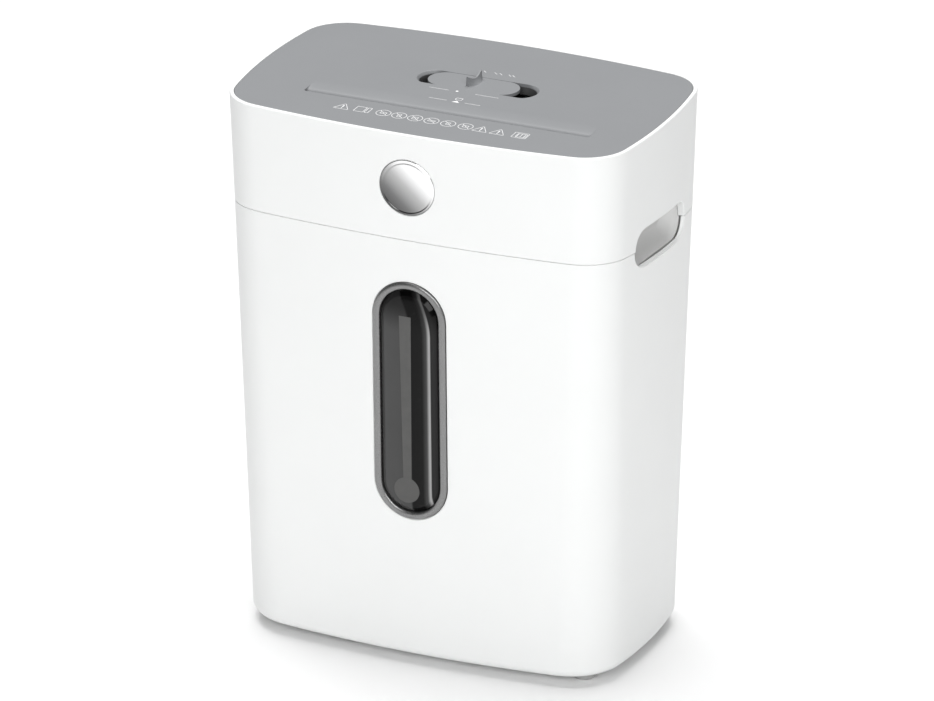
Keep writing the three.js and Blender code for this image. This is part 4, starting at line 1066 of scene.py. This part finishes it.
def paint_pocket_shade(panel):
    """Painted shade: the top panel's faces more than 2.35 mm down in the slider's pocket are painted dark."""
    panel.data.materials.append(POCKET_PAINTED_SHADE)
    deep = (PANEL_TOP - 2.35) * MM
    for face in panel.data.polygons:
        centre = face.center
        inside_x = abs(centre.x / MM - POCKET_X) < POCKET_LENGTH + 1
        if centre.z < deep and inside_x and abs(centre.y / MM - SLIDER_Y) < POCKET_WIDTH + 1:
            face.material_index = 1


model("head_shell", head_shell())
model("badge", badge())
model("cord_inlet", cord_inlet())
# The top panel's pocket gets painted shade below its edge.
paint_pocket_shade(model("top_panel", top_panel()))
model("mode_slider", mode_slider())
finished(printed_marks(), "printed_marks", "head", "case_white", INK)


def grip_bowl(skin):
    """The right finger bowl opening outwards: its outside, or its inside when given its skin."""
    mouth = WIDTH / 2 - GRIP_MOUTH + (3 if skin else 0)
    end = WIDTH / 2 - GRIP_DEPTH + skin
    sections = [(end, -6, -6.5), (end + 3.5, -1.5, -2), (end + 9, 2.6, 3.4), (mouth, 3.7, 3.7)]
    rings = []
    for x, longer, higher in fillet(sections, 6, 8, closed=False):
        share = min(1, (x - end) / (WIDTH / 2 - GRIP_MOUTH - end))
        outline = grip_outline(longer - skin, higher - skin)
        rings.append([(x - 0.2 * share * (WIDTH / 2 - side_wall(y)), y, z) for y, z in outline])
    return stack(rings)


def lip_room():
    """Clears the base away behind the head's grip lips."""
    outline = grip_outline(4)
    inner = [(side_wall(y) - GRIP_LIP - 0.6, y, z) for y, z in outline]
    above_seam = [(-60, seam_height(-60) - 0.3), (60, seam_height(60) - 0.3), (60, 360), (-60, 360)]
    return common(stack([inner, [(170, y, z) for y, z in outline]]), prism("x", above_seam, 130, 175))


def head_base():
    edge = BASE_EDGE
    outer = quarter(BASE_BOTTOM + edge, BASE_INSET + edge, edge, 0, 1, 6)
    inner = quarter(313.5 + edge, BASE_INSET + BASE_WALL + edge, edge, 1, 0, 5)
    corners = [(BASE_TOP, BASE_INSET), (BASE_TOP, BASE_INSET + BASE_WALL), (320, BASE_INSET + BASE_WALL)]
    rim = fillet([outer[-1], *corners], [0, 0.6, 0.6, 0], 3, closed=False)[1:]
    tub = stack([level(base_plan(inset), z) for z, inset in outer + rim + inner])
    low, high = SEAM_Z + 1.4, SEAM_Z + 3.6
    flange_inset = BASE_INSET - 5
    root = BASE_INSET + 1
    section = [(low, root), (low, flange_inset), (high, flange_inset), (high, root)]
    sheared = []
    for z, inset in fillet(section, [0, 0.5, 0.5, 0], 3):
        outline = base_plan(inset)
        sheared.append([(x, y, z - SEAM_SLOPE * (y + DEPTH / 2)) for x, y in outline])
    flange = stack(sheared, closed=True)
    tower = [(0, 312), (TOWER_RADIUS, 312), (TOWER_RADIUS, TOWER_TOP), (0, TOWER_TOP)]
    towers = [turned("z", tower, place, 32, 0) for place in TOWERS]
    join(tub, flange, *both_sides(lambda: grip_bowl(0)), *towers)
    rooms = []
    for place in TOWERS:
        rooms.append(turned("z", [(0, 300), (3.8, 300), (3.8, 392.5), (0, 392.5)], place, 24, 0))
        rooms.append(turned("z", [(0, 390), (2, 390), (2, 398), (0, 398)], place, 24, 0))
    outlet = prism("z", rounded_box(10, -45.5, 111, 25.5, 3), 300, 320)
    pin_hole = turned("z", [(0, 320), (2, 320), (2, 342), (0, 342)], (0, INTERLOCK_Y), 32, 0)
    bowls = both_sides(lambda: grip_bowl(BASE_WALL))
    return cut(tub, *bowls, *both_sides(lip_room), outlet, *rooms, pin_hole)


model("head_base", head_base(), LIGHT_GREY)

# ---- The works: CAD nodes that keep their shape ----

EDGE_OF = {"circuit_board": 0.1, "winding": 0.25, "magnet": 0.3, "gear_nylon": 0.12, "plate_steel": 0.15}
replaced = {name for name in SLOT_OF if f"{name}_model" in bpy.data.objects}


def keep(node):
    """Shows a CAD node with its slot's material and small real edges."""
    slot = SLOT_OF[node]
    shown = frame["nodes"][node]
    shown.data.materials.clear()
    shown.data.materials.append(SURFACES[slot])
    shown.data.shade_smooth()
    shown.data.set_sharp_from_angle(angle=math.radians(35))
    bevel = shown.modifiers.new("edges", "BEVEL")
    bevel.width = EDGE_OF.get(slot, 0.2) * MM
    bevel.segments = 2
    bevel.limit_method = "ANGLE"
    bevel.angle_limit = math.radians(40)
    bevel.harden_normals = True


for name in sorted(set(frame["nodes"]) - replaced):
    keep(name)

# ---- Camera, floor and light ----


def floor():
    half = 6000
    cells = 24
    step = 2 * half / cells
    verts = [(-half + step * i, -half + step * j, 0) for j in range(cells + 1) for i in range(cells + 1)]
    faces = []
    for j in range(cells):
        for i in range(cells):
            a = j * (cells + 1) + i
            faces.append((a, a + 1, a + cells + 2, a + cells + 1))
    mesh = bpy.data.meshes.new("floor")
    mesh.from_pydata([tuple(c * MM for c in v) for v in verts], [], faces)
    made = bpy.data.objects.new("floor", mesh)
    bpy.context.scene.collection.objects.link(made)
    pale = (0.97, 0.97, 0.97)
    made.data.materials.append(
        surface("pale_floor", pale, 0.7, grain=3, depth=0.02, mottle=0.004, patch=300, specular=0.2)
    )


def area_light(name, location, target, size, power):
    light = bpy.data.lights.new(name, "AREA")
    light.shape = "RECTANGLE"
    light.size, light.size_y = size
    light.energy = power
    made = bpy.data.objects.new(name, light)
    made.location = location
    aim = Vector(target) - Vector(location)
    made.rotation_mode = "QUATERNION"
    made.rotation_quaternion = aim.to_track_quat("-Z", "Y")
    bpy.context.scene.collection.objects.link(made)


def world(strength):
    made = bpy.data.worlds.new("studio")
    made.use_nodes = True
    background = made.node_tree.nodes["Background"]
    background.inputs["Color"].default_value = (1, 1, 1, 1)
    background.inputs["Strength"].default_value = strength
    bpy.context.scene.world = made


def camera():
    lens = bpy.data.cameras.new("camera")
    lens.lens = LENS
    lens.sensor_width = SENSOR
    lens.clip_end = 60
    made = bpy.data.objects.new("camera", lens)
    made.location = CAMERA_PLACE
    made.rotation_mode = "QUATERNION"
    made.rotation_quaternion = Vector(CAMERA_LOOKS).to_track_quat("-Z", "Y")
    bpy.context.scene.collection.objects.link(made)
    bpy.context.scene.camera = made


floor()
camera()
world(WORLD_STRENGTH)
for name, (place, target, size, power) in LIGHTS.items():
    area_light(name, place, target, size, power)
bpy.context.scene.view_settings.view_transform = "Standard"
